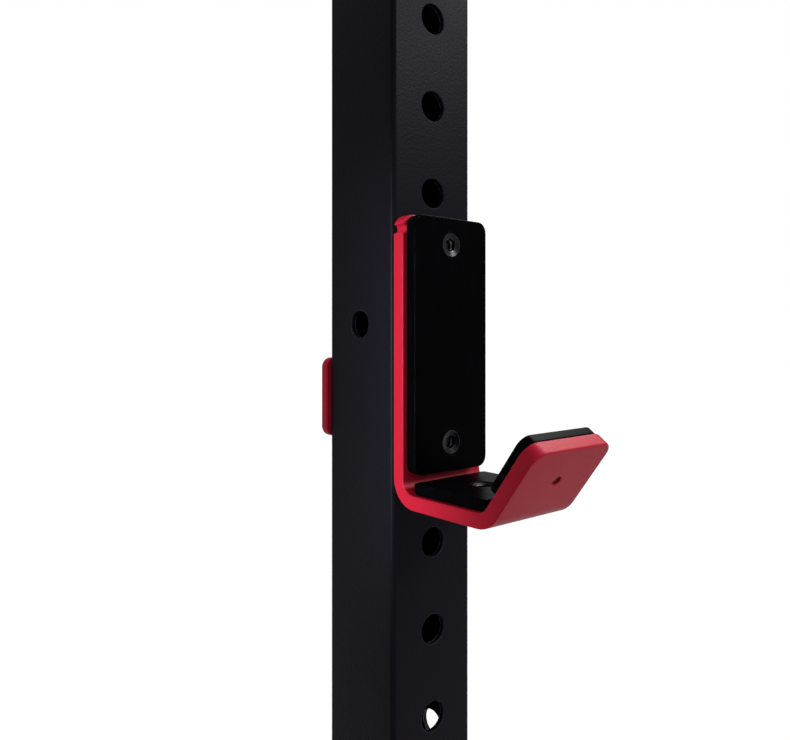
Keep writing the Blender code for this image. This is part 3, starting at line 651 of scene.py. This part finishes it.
BAR_RADIUS = 0.016
BAR_WALL = 0.003
bar_bore = BAR_RADIUS - BAR_WALL
bar_reach = across / 2 - PLATE
round_tube = spun([(BAR_RADIUS, -bar_reach), (BAR_RADIUS, bar_reach), (bar_bore, bar_reach),
                   (bar_bore, -bar_reach), (BAR_RADIUS, -bar_reach)])
bar_weld = bmesh.new()
ripples = round(2 * pi * BAR_RADIUS / WELD_RIPPLE)
add_weld(bar_weld, WELD_BEAD, (WELD_SQUASH, 1, 1), [
    Matrix.Rotation(2 * pi * index / ripples, 4, 'Z') @ at((0, BAR_RADIUS, 0))
    for index in range(ripples)])
add_tie("chin_bar", "pull_up_bar", round_tube, bar_weld, (0, -POST_Y, tie_z), across, unturned)
new_piece(tie_bolts, "tie_bolts", black_oxide_screw, "frame")
new_piece(bolt_domes, "bolt_domes", black_oxide_screw, "frame")


# J-cup bars. 60 x 8 mm flat steel bar, sheared with rounded corners, notched on one edge, drilled,
# folded twice and powder coated red: a leg against the upright, a shelf and a sloping lip.

pin_height = next(joint["pos_m"][2] for joint in frame["joints"] if joint["name"] == "jcup_right_turn")
CUP_PLATE = 0.008
CUP_EDGE = 0.0009
CUP_BEND = 0.008
CUP_CORNER = 0.008
CUP_ABOVE_PIN = 0.0345
CUP_SHELF_DROP = 0.1168
CUP_THROAT = 0.058
LIP_ANGLE = radians(54)
LIP_LENGTH = 0.0458
NOTCH = 0.0025
NOTCH_ABOVE_PIN = 0.0265
NOTCH_CUTS = 8
NOTCH_SLACK = 0.0005
UPPER_SCREW = 0.019
LOWER_SCREW = 0.091
SHELF_SCREW = 0.0314
LIP_SCREW = 0.0245
SCREW_HOLE = 0.0028  # radius
SCREW_HOLE_RIM = 0.0004
FOLD_STATIONS = 10


def open_holes(bm, upper, under, holes):
    """Open turned holes in a plate. Each is its centre and a profile from its top to its bottom."""
    fill_round(bm, upper, [(Vector((x, y, rim[0][1])), rim[0][0]) for (x, y), rim in holes])
    fill_round(bm, under, [(Vector((x, y, rim[-1][1])), rim[-1][0]) for (x, y), rim in holes])
    for (x, y), rim in holes:
        hole = spun(rim)
        add_copy(bm, hole, at((x, y, 0)))
        hole.free()
    bmesh.ops.remove_doubles(bm, verts=bm.verts, dist=MERGE_REACH)


def straight_hole(radius, thickness, rim):
    """Profile of a round hole through a plate, rounded at both of its ends."""
    upper = quarter(radius, thickness, rim, 1)
    return upper + [(r, thickness - z) for r, z in reversed(upper)]


def cut_across(bm, station):
    """Cut the faces of a plate on XY along a line across it, so that it can bend there."""
    bmesh.ops.bisect_plane(bm, geom=bm.verts[:] + bm.edges[:] + bm.faces[:], dist=SAME_PLACE,
                           plane_co=(0, station, 0), plane_no=(0, 1, 0))


def fold(bm, bends, thickness, inner_radius):
    """Fold a plate that lies on XY along -Y, upwards about lines across it.

    Each bend is where it starts, as a distance from Y = 0, and its angle.
    """
    mean = inner_radius + thickness / 2
    for start, angle in reversed(bends):
        for step in range(FOLD_STATIONS + 1):
            cut_across(bm, -start - mean * angle * step / FOLD_STATIONS)
        centre = Vector((0, -start, inner_radius + thickness))
        for vert in bm.verts:
            beyond = -vert.co.y - start
            if beyond > 0:
                turned = min(beyond / mean, angle)
                flat = Vector((vert.co.x, -start - max(0, beyond - mean * angle), vert.co.z))
                vert.co = centre + Matrix.Rotation(-turned, 3, 'X') @ (flat - centre)


def cut_notch(bm):
    """Cut the round notch where the long left edge meets the corner's arc."""
    edge = max((edge for edge in bm.edges if all(vert.co.x < 0 for vert in edge.verts)),
               key=lambda edge: edge.calc_length())
    made = bmesh.ops.subdivide_edges(bm, edges=[edge], cuts=NOTCH_CUTS)["geom_inner"]
    near = {vert for vert in bm.verts
            if vert.co.x < NOTCH_SLACK - POST_HALF and vert.co.y > NOTCH_ABOVE_PIN - NOTCH_SLACK}
    near.update(of_kind(made, bmesh.types.BMVert))
    end = pi / 2 - asin(NOTCH / 2 / CUP_CORNER)
    for index, vert in enumerate(sorted(near, key=lambda vert: vert.co.y)):
        turn = (end + pi / 2) * index / (len(near) - 1) - pi / 2
        vert.co = (NOTCH * cos(turn) - POST_HALF, NOTCH_ABOVE_PIN + NOTCH * sin(turn), 0)


def cup_bar():
    """The right cup's bar about its pin: X across, -Y forwards."""
    outer = CUP_BEND + CUP_PLATE
    mean = CUP_BEND + CUP_PLATE / 2
    mitre = tan(LIP_ANGLE / 2)
    leg = CUP_SHELF_DROP + CUP_PLATE - outer
    shelf = CUP_THROAT + CUP_PLATE + CUP_PLATE * mitre - outer - outer * mitre
    lip = LIP_LENGTH + CUP_PLATE * mitre - outer * mitre
    heel_end = leg + mean * pi / 2
    toe_start = heel_end + shelf
    toe_end = toe_start + mean * LIP_ANGLE
    length = CUP_ABOVE_PIN + toe_end + lip
    bm = sheet(2 * POST_HALF, length, CUP_CORNER)
    bmesh.ops.translate(bm, vec=(0, CUP_ABOVE_PIN, 0), verts=bm.verts)
    cut_notch(bm)
    upper, under = thicken(bm, CUP_PLATE, CUP_EDGE, CUP_EDGE)
    hole = straight_hole(SCREW_HOLE, CUP_PLATE, SCREW_HOLE_RIM)
    spots = (-UPPER_SCREW, LOWER_SCREW, heel_end + SHELF_SCREW - CUP_BEND,
             toe_end + LIP_SCREW - CUP_BEND * mitre)
    open_holes(bm, upper, under, [((0, -spot), hole) for spot in spots])
    fold(bm, ((leg, pi / 2), (toe_start, LIP_ANGLE)), CUP_PLATE, CUP_BEND)
    place = at((0, -GAP, 0)) @ Matrix.Rotation(pi / 2, 4, 'X')
    bmesh.ops.transform(bm, matrix=place, verts=bm.verts)
    return bm


def hang(pattern, name, material):
    """Hang a finished cup piece on both front uprights, mirrored on the left."""
    for side, x_sign in SIDES:
        place = at((x_sign * POST_X, -POST_Y - POST_HALF, pin_height))
        place_piece(pattern, place @ Matrix.Diagonal((x_sign, 1, 1, 1)), f"cup_{name}_{side}",
                    material, f"jcup_{side}", f"jcup_{name}_{side}")


# The pale edge colour is partly wear and partly a painted highlight on the cups' edges.
red_powder_coat = powder_coat("red powder coat", "#C81C38", "#BE1832", "#D8505F",
                              peel=0.35, specular=0.12, roughness=0.40)
hang(cup_bar(), "bar", red_powder_coat)


# J-cup wraps. A 5.5 mm steel plate, folded once to lie along the upright's outer side and hook
# behind it, its front edge welded to the bar's edge before both were coated.

WRAP_PLATE = 0.0055
WRAP_LAP = 0.005
WRAP_TOP_DROP = 0.045
WRAP_HEIGHT = 0.048
WRAP_BEND = 0.002
WRAP_CORNER = 0.006
WRAP_OVERREACH = 0.0023
CUP_WELD = 0.0028


def cup_wrap():
    """The right cup's wrap, with the weld along its front edge."""
    side = POST_HALF + GAP
    back_face = 2 * POST_HALF + GAP
    flank = GAP + WRAP_LAP + back_face - WRAP_BEND
    mean = WRAP_BEND + WRAP_PLATE / 2
    tab = side + POST_HALF + WRAP_OVERREACH - WRAP_BEND
    bm = sheet(WRAP_HEIGHT, flank + mean * pi / 2 + tab, WRAP_CORNER, rounded_start=False)
    thicken(bm, WRAP_PLATE, CUP_EDGE, CUP_EDGE)
    fold(bm, ((flank, pi / 2),), WRAP_PLATE, WRAP_BEND)
    middle = -(WRAP_TOP_DROP + WRAP_HEIGHT / 2)
    place = at((side + WRAP_PLATE, -GAP - WRAP_LAP, middle))
    turn = Matrix.Rotation(pi / 2, 4, 'Y') @ Matrix.Rotation(pi, 4, 'X')
    bmesh.ops.transform(bm, matrix=place @ turn, verts=bm.verts)
    ripples = round(WRAP_HEIGHT / WELD_RIPPLE)
    add_weld(bm, CUP_WELD, (1, 1, WELD_SQUASH), [
        at((side, -GAP - WRAP_LAP, middle + WRAP_HEIGHT * (index / ripples - 0.5)))
        for index in range(1, ripples)])
    return bm


hang(cup_wrap(), "wrap", red_powder_coat)


# J-cup pins. Steel pins, turned, hardened and zinc plated, pressed into the bars. Each carries its
# cup in one hole of the upright, which its chamfered nose finds.

PIN_RADIUS = 0.008
PIN_REACH = 0.042
PIN_CHAMFER = 0.0025
PIN_EDGE = 0.0008
RING_SPACING = 0.0004
RING_HEIGHT = 0.00005
WAVE_LENGTH = 0.314  # of the wave texture at a scale of 1
PLATING_CLOUD_SIZE = 0.010


def plated_steel(name, color, cloud_color):
    """Zinc-plated steel: bright, with fine rings from the lathe and a slightly cloudy plating.

    The rings are drawn 0.4 mm apart, as finer ones would not show.
    """
    material = new_material(name)
    place = add_node(material, "ShaderNodeTexCoord").outputs["Object"]
    rings = add_node(material, "ShaderNodeTexWave",
                     {"bands_direction": 'Y', "Scale": WAVE_LENGTH / RING_SPACING, "Distortion": 1.5},
                     {"Vector": place})
    cloud = add_node(material, "ShaderNodeTexNoise", {"Scale": 1 / PLATING_CLOUD_SIZE, "Detail": 4.0},
                     {"Vector": place})
    gloss = add_node(material, "ShaderNodeMapRange", {"To Min": 0.2, "To Max": 0.38},
                     {"Value": cloud.outputs["Fac"]})
    tone = add_node(material, "ShaderNodeMix",
                    {"data_type": 'RGBA', 6: linear(color), 7: linear(cloud_color)},
                    {0: cloud.outputs["Fac"]})
    bump = add_node(material, "ShaderNodeBump", {"Strength": 0.1, "Distance": RING_HEIGHT},
                    {"Height": rings.outputs["Fac"]})
    shader = add_node(material, "ShaderNodeBsdfPrincipled", {"Metallic": 1.0},
                      {"Base Color": tone.outputs[2], "Roughness": gloss.outputs["Result"],
                       "Normal": bump.outputs["Normal"]})
    add_node(material, "ShaderNodeOutputMaterial", None, {"Surface": shader.outputs["BSDF"]})
    return material


bright_steel = plated_steel("bright steel", "#C9CACC", "#A5A7AA")
pin_length = GAP + CUP_PLATE + PIN_REACH
pin = spun([(0, 0), (PIN_RADIUS - PIN_EDGE, 0), (PIN_RADIUS, -PIN_EDGE),
            (PIN_RADIUS, PIN_CHAMFER - pin_length), (PIN_RADIUS - PIN_CHAMFER, -pin_length),
            (0, -pin_length)])
place = at((0, -GAP - CUP_PLATE, 0)) @ facing((0, -1, 0))
bmesh.ops.transform(pin, matrix=place, verts=pin.verts)
hang(pin, "pin", bright_steel)


# J-cup liners. Plates of very hard-wearing black polyethylene, machined with rounded corners and
# countersunk holes, that keep a barbell off the steel: one on the leg, the shelf and the lip.

LINER_WIDTH = 0.055
LINER_CORNER = 0.006
LINER_EDGE = 0.0005
BACK_LINER = 0.007
BACK_LINER_TOP = 0.0338
BACK_LINER_BOTTOM = 0.107
SHELF_LINER = 0.006
SHELF_LINER_START = 0.0055
SHELF_LINER_CORNER = 0.002
LINER_SPACE = 0.0007
LINER_RELIEF = 0.0026
LIP_LINER = 0.005
LIP_LINER_MARGIN = 0.0005
SCREW_HEAD = 0.00675  # radius
SCREW_SHANK = 0.0025  # radius
SCREW_RIM = 0.0006
SCREW_RECESS = 0.0005
SCREW_END = 0.001
cup_front = -(GAP + CUP_PLATE)
leg_face = at((0, cup_front, 0)) @ Matrix.Rotation(pi / 2, 4, 'X')
shelf_face = at((0, cup_front, -CUP_SHELF_DROP))
lip_foot = at((0, cup_front - CUP_THROAT, -CUP_SHELF_DROP))
lip_face = lip_foot @ Matrix.Rotation(-LIP_ANGLE, 4, 'X')
shelf_end = CUP_THROAT - LINER_SPACE
lip_start = (SHELF_LINER + GAP + LINER_SPACE) / sin(LIP_ANGLE)
LINERS = {
    "back": (leg_face, -BACK_LINER_TOP, BACK_LINER_BOTTOM, BACK_LINER, LINER_CORNER),
    "shelf": (shelf_face, SHELF_LINER_START, shelf_end, SHELF_LINER, SHELF_LINER_CORNER),
    "lip": (lip_face, lip_start, LIP_LENGTH - LIP_LINER_MARGIN, LIP_LINER, LINER_CORNER),
}
SCREWS = {
    "back_upper": ("back", -UPPER_SCREW),
    "back_lower": ("back", LOWER_SCREW),
    "shelf": ("shelf", (SHELF_LINER_START + shelf_end) / 2),
    "lip": ("lip", LIP_SCREW),
}


def relieve(bm, near, far):
    """Chamfer the underside of the shelf's liner at both ends, to clear the bar's folds."""
    for station, outward in ((-near - LINER_RELIEF, 1), (LINER_RELIEF - far, -1)):
        cut_across(bm, station)
        for vert in bm.verts:
            vert.co.z = max(vert.co.z, (vert.co.y - station) * outward)


def cup_liner(name):
    """One liner of the right cup, with its countersunk holes."""
    face, near, far, thickness, corner = LINERS[name]
    bm = sheet(LINER_WIDTH, far - near, corner)
    bmesh.ops.translate(bm, vec=(0, -near, 0), verts=bm.verts)
    upper, under = thicken(bm, thickness, LINER_EDGE, LINER_EDGE)
    head = SCREW_HEAD + GAP
    shank = SCREW_SHANK + GAP
    seat = thickness - SCREW_RECESS - SCREW_RIM
    profile = [*quarter(head, thickness, LINER_EDGE / 2, 1), (head, seat), (shank, seat - head + shank),
               (shank, 0)]
    stations = [station for liner, station in SCREWS.values() if liner == name]
    open_holes(bm, upper, under, [((0, -station), profile) for station in stations])
    if name == "shelf":
        relieve(bm, near, far)
    bmesh.ops.transform(bm, matrix=face @ at((0, 0, GAP)), verts=bm.verts)
    return bm


# The pale edge colour is partly wear and partly a painted highlight on the liners' edges.
liner_plastic = moulded_plastic("liner plastic", "#020204", grain=0.2, specular=0.015,
                                roughness=0.28, scuff_color="#0A0A0E", edge_wear_and_highlight_color="#3C3C40")
for liner in LINERS:
    hang(cup_liner(liner), f"{liner}_liner", liner_plastic)


# Liner screws. Blackened countersunk screws with hexagon sockets, their heads just below the
# liners' faces. Their rims are pale: partly bare metal where barbells rub them, partly a painted
# highlight.

HEAD_LIP = 0.0005
SOCKET = 0.0035  # half the width across flats
SOCKET_DEPTH = 0.0030
HEAD_DISH = 0.0006
HEAD_SLOPE = 0.0016
HEAD_EDGE = 0.0002
SOCKET_RIM = 0.0003
SHANK_CHAMFER = 0.0004


def cup_screw(spot):
    """One screw: a dished head with a hexagon socket, a cone and a shank."""
    liner, station = SCREWS[spot]
    face, _, _, thickness, _ = LINERS[liner]
    length = thickness + GAP - SCREW_RECESS + CUP_PLATE - SCREW_END
    corner = SOCKET / HEXAGON_FLATS
    top = SCREW_HEAD - HEAD_LIP
    bm = spun([(corner + SOCKET_RIM, -HEAD_DISH), (top - HEAD_SLOPE, -HEAD_DISH), (top, 0),
               (SCREW_HEAD - HEAD_EDGE, 0), (SCREW_HEAD, -HEAD_EDGE), (SCREW_HEAD, -SCREW_RIM),
               (SCREW_SHANK, -SCREW_RIM - SCREW_HEAD + SCREW_SHANK),
               (SCREW_SHANK, SHANK_CHAMFER - length), (SCREW_SHANK - SHANK_CHAMFER, -length),
               (0, -length)])
    rim = [edge for edge in bm.edges if edge.is_boundary]
    socket = bmesh.ops.create_circle(bm, segments=6, radius=corner,
                                     matrix=at((0, 0, -HEAD_DISH - SOCKET_RIM)))
    sides = edges_at(socket["verts"])
    bmesh.ops.bridge_loops(bm, edges=rim + sides)
    deep = bmesh.ops.extrude_edge_only(bm, edges=sides)["geom"]
    low_verts = of_kind(deep, bmesh.types.BMVert)
    bmesh.ops.translate(bm, vec=(0, 0, -SOCKET_DEPTH), verts=low_verts)
    bmesh.ops.contextual_create(bm, geom=low_verts)
    place = face @ at((0, -station, GAP + thickness - SCREW_RECESS))
    bmesh.ops.transform(bm, matrix=place, verts=bm.verts)
    return bm


for spot in SCREWS:
    hang(cup_screw(spot), f"{spot}_screw", black_oxide_screw)


# Safety pipes. Round 48 mm steel tube, 3.5 mm thick, coated black like the frame, whose length
# fits between the uprights. A barbell that is dropped lands on it.

PIPE_RADIUS = 0.024
PIPE_WALL = 0.0035
PIPE_END_ROUND = 0.0006
pipe_low, pipe_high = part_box("safety_pipe_right")
safety_z = (pipe_low.z + pipe_high.z) / 2


def lay(pattern, name, material, body):
    """Make a finished safety piece for each side. Its Z lies along the rod, towards the rear."""
    for side, x_sign in SIDES:
        place = at((x_sign * POST_X, 0, safety_z)) @ facing((0, 1, 0))
        place_piece(pattern, place, f"{side}_safety_{name}", material, f"{body}_{side}",
                    f"safety_{name}_{side}")


inner = PIPE_RADIUS - PIPE_WALL
pipe_end = pipe_high.y
outline = [(inner + PIPE_END_ROUND, pipe_end), *quarter(PIPE_RADIUS, pipe_end, PIPE_END_ROUND, -1)]
far_outline = [(radius, -height) for radius, height in reversed(outline)]
pipe = spun([*outline, *far_outline, (inner, PIPE_END_ROUND - pipe_end),
             (inner, pipe_end - PIPE_END_ROUND), outline[0]])
lay(pipe, "pipe", black_powder_coat, "safety_pipe")


# Safety bushes. Moulded black plastic with a flange that stands off the upright and a shank
# inside the pipe, so that the pipe turns freely on its rod.

BUSH_BORE = 0.0086  # radius
BUSH_FLANGE = 0.004
BUSH_EDGE = 0.0006
BUSH_RIM = 0.0015
for end, y_sign in ENDS:
    bush_low, bush_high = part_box(f"safety_bush_{end}_right")
    outer_end = max(abs(bush_low.y), abs(bush_high.y))
    inner_end = min(abs(bush_low.y), abs(bush_high.y))
    flange_face = outer_end - BUSH_FLANGE
    shank = inner - GAP
    profile = [(BUSH_BORE, inner_end), (shank - BUSH_EDGE, inner_end), (shank, inner_end + BUSH_EDGE),
               (shank, flange_face), (PIPE_RADIUS - BUSH_EDGE, flange_face),
               (PIPE_RADIUS, flange_face + BUSH_EDGE),
               *reversed(quarter(PIPE_RADIUS, outer_end, BUSH_RIM, -1)),
               (BUSH_BORE + BUSH_EDGE, outer_end), (BUSH_BORE, outer_end - BUSH_EDGE),
               (BUSH_BORE, inner_end)]
    bush = spun([(radius, y_sign * height) for radius, height in profile])
    lay(bush, f"bush_{end}", plug_plastic, "safety_pipe")


# Safety rods and grips. A zinc-plated 16 mm rod with a chamfered tail runs through both uprights
# and the bushes. Its front end is held in a ribbed rubber grip with a collar against the upright.

ROD_RADIUS = 0.008
ROD_CHAMFER = 0.003
ROD_EDGE = 0.001
GRIP_RADIUS = 0.015
GRIP_ROUND = 0.005
GROOVE = 0.0012
GROOVE_PITCH = 0.006
GROOVE_HALF_TOP = 0.0016
GROOVE_HALF_FLOOR = 0.0008
GROOVE_FREE_END = 0.010
COLLAR = 0.019  # radius
COLLAR_LENGTH = 0.008
COLLAR_EDGE = 0.0012
COLLAR_FLARE = ((0, 0.003), (0.0006, 0.0012), (0.002, 0.0002))  # out from the grip, before the collar
rod_low, rod_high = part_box("safety_rod_right")
grip_low, grip_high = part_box("safety_grip_right")
rod = spun([(0, rod_low.y), (ROD_RADIUS - ROD_EDGE, rod_low.y), (ROD_RADIUS, rod_low.y + ROD_EDGE),
            (ROD_RADIUS, rod_high.y - ROD_CHAMFER), (ROD_RADIUS - ROD_CHAMFER, rod_high.y),
            (0, rod_high.y)])
lay(rod, "rod", bright_steel, "safety_rod")


def grip_profile():
    """Radius and place along Y of the grip's outline, from its front end to its collar."""
    start = grip_low.y + GRIP_ROUND
    collar = grip_high.y - COLLAR_LENGTH
    turns = [radians(angle) for angle in (90, 70, 50, 30, 15, 0)]
    nose = [(GRIP_RADIUS - GRIP_ROUND * (1 - cos(turn)), start - GRIP_ROUND * sin(turn))
            for turn in turns]
    ribs = []
    bottom = GRIP_RADIUS - GROOVE
    groove = start + GROOVE_PITCH
    while groove < collar - GROOVE_FREE_END:
        ribs += [(GRIP_RADIUS, groove - GROOVE_HALF_TOP), (bottom, groove - GROOVE_HALF_FLOOR),
                 (bottom, groove + GROOVE_HALF_FLOOR), (GRIP_RADIUS, groove + GROOVE_HALF_TOP)]
        groove += GROOVE_PITCH
    flare = [(GRIP_RADIUS + out, collar - before) for out, before in COLLAR_FLARE]
    rim = [(COLLAR - COLLAR_EDGE, collar), (COLLAR, collar + COLLAR_EDGE),
           (COLLAR, grip_high.y - COLLAR_EDGE), (COLLAR - COLLAR_EDGE, grip_high.y),
           (ROD_RADIUS + GAP, grip_high.y)]
    return [(0, grip_low.y), *nose, *ribs, *flare, *rim]


bore_end = rod_low.y - GAP
grip = spun([*grip_profile(), (ROD_RADIUS + GAP, bore_end), (0, bore_end)])
lay(grip, "grip", foot_rubber, "safety_rod")


# Floor and backdrop. A white studio floor that fades into the white of the world. Both are fully
# white to the camera and weaker in the coats' gloss, as softboxes would be that hang apart. They
# are there for the light and the shadow and aren't part of the rack.

FLOOR_REACH = 40.0
FLOOR_LIFT = 0.78
FLOOR_STEPS = 64
FILL = 0.38
FLOOR_GLOSS = 0.55
WORLD_GLOSS = 0.15


def seen_as_background(owner, gloss):
    """A factor that is 1 for the camera's rays, gloss for mirrored ones and 0 for the others."""
    rays = add_node(owner, "ShaderNodeLightPath").outputs
    mirrored = add_node(owner, "ShaderNodeMath", {"operation": 'MULTIPLY', 1: gloss},
                        {0: rays["Is Glossy Ray"]})
    seen = add_node(owner, "ShaderNodeMath", {"operation": 'MAXIMUM'},
                    {0: rays["Is Camera Ray"], 1: mirrored.outputs["Value"]})
    return seen.outputs["Value"]


def studio_floor():
    """White paper: what is lit reaches white, and the rack's shadow stays on it as a soft grey."""
    material = new_material("studio floor")
    paper = add_node(material, "ShaderNodeBsdfDiffuse", {"Color": linear("#8C8C8C")})
    seen = add_node(material, "ShaderNodeMath", {"operation": 'MULTIPLY', 1: FLOOR_LIFT},
                    {0: seen_as_background(material, FLOOR_GLOSS)})
    lift = add_node(material, "ShaderNodeEmission", {"Color": (1, 1, 1, 1)},
                    {"Strength": seen.outputs["Value"]})
    both = add_node(material, "ShaderNodeAddShader", None,
                    {0: paper.outputs["BSDF"], 1: lift.outputs["Emission"]})
    add_node(material, "ShaderNodeOutputMaterial", None, {"Surface": both.outputs["Shader"]})
    return material


bm = bmesh.new()
bmesh.ops.create_circle(bm, cap_ends=True, segments=FLOOR_STEPS, radius=FLOOR_REACH)
mesh = bpy.data.meshes.new("floor")
bm.to_mesh(mesh)
bm.free()
mesh.materials.append(studio_floor())
floor = new_object("floor", mesh)

world = bpy.data.worlds.new("white studio")
bpy.context.scene.world = world
world.use_nodes = True
world.node_tree.nodes.clear()
glow = add_node(world, "ShaderNodeMapRange", {"To Min": FILL, "To Max": 1.0},
                {"Value": seen_as_background(world, WORLD_GLOSS)})
sky = add_node(world, "ShaderNodeBackground", {"Color": (1, 1, 1, 1)},
               {"Strength": glow.outputs["Result"]})
add_node(world, "ShaderNodeOutputWorld", None, {"Surface": sky.outputs["Background"]})


# Lamps and camera. Two wide, distant lamps stand in for softboxes, one in front at the right and
# one high at the right. A narrow strip at the left gives the J-cup's edges their pale gloss. The
# camera stands level, 42 cm from the right J-cup.

STRIP_WIDTH = 0.04
STRIP_HEIGHT = 0.22
STRIP_SPREAD = radians(20)
STRIP_POWER = 0.053
STRIP_FROM_POST_SIDE = 0.40
STRIP_FROM_POST_FRONT = 0.006
STRIP_BELOW_PIN = 0.055
SOFTBOXES = (("front_softbox", (0.56, -0.66, 0.5), 1.2, 18),
             ("top_softbox", (0.64, 0.1, 0.76), 1.7, 26))
for name, comes_from, strength, width in SOFTBOXES:
    lamp = bpy.data.lights.new(name, 'SUN')
    lamp.energy = strength
    lamp.angle = radians(width)
    softbox = new_object(name, lamp)
    softbox.rotation_euler = Vector(comes_from).to_track_quat('Z', 'Y').to_euler()

strip = bpy.data.lights.new("strip_softbox", 'AREA')
strip.shape = 'RECTANGLE'
strip.size = STRIP_WIDTH
strip.size_y = STRIP_HEIGHT
strip.spread = STRIP_SPREAD
strip.energy = STRIP_POWER
softbox = new_object("strip_softbox", strip)
softbox.location = (POST_X - POST_HALF - STRIP_FROM_POST_SIDE,
                    -POST_Y - POST_HALF - STRIP_FROM_POST_FRONT, pin_height - STRIP_BELOW_PIN)
softbox.rotation_euler = Vector((-1, 0, 0)).to_track_quat('Z', 'Y').to_euler()
softbox.visible_camera = False

IMAGE_WIDTH = 790
IMAGE_HEIGHT = 740
FOCAL_PIXELS = 725.7
HORIZON_ROW = 334.95
CAMERA_TURN = radians(40)
CAMERA_FROM_POST_SIDE = 0.2544
CAMERA_FROM_POST_FRONT = 0.305
CAMERA_BELOW_PIN = 0.0312
view = bpy.data.cameras.new("photo_view")
view.sensor_width = 36.0
view.lens = view.sensor_width * FOCAL_PIXELS / IMAGE_WIDTH
view.shift_y = (HORIZON_ROW - IMAGE_HEIGHT / 2) / IMAGE_WIDTH
view.clip_start = 0.01
camera = new_object("photo_view", view)
camera.location = (POST_X - POST_HALF - CAMERA_FROM_POST_SIDE,
                   -POST_Y - POST_HALF - CAMERA_FROM_POST_FRONT, pin_height - CAMERA_BELOW_PIN)
camera.rotation_euler = (pi / 2, 0, -CAMERA_TURN)
bpy.context.scene.camera = camera
bpy.context.scene.view_settings.view_transform = 'Standard'
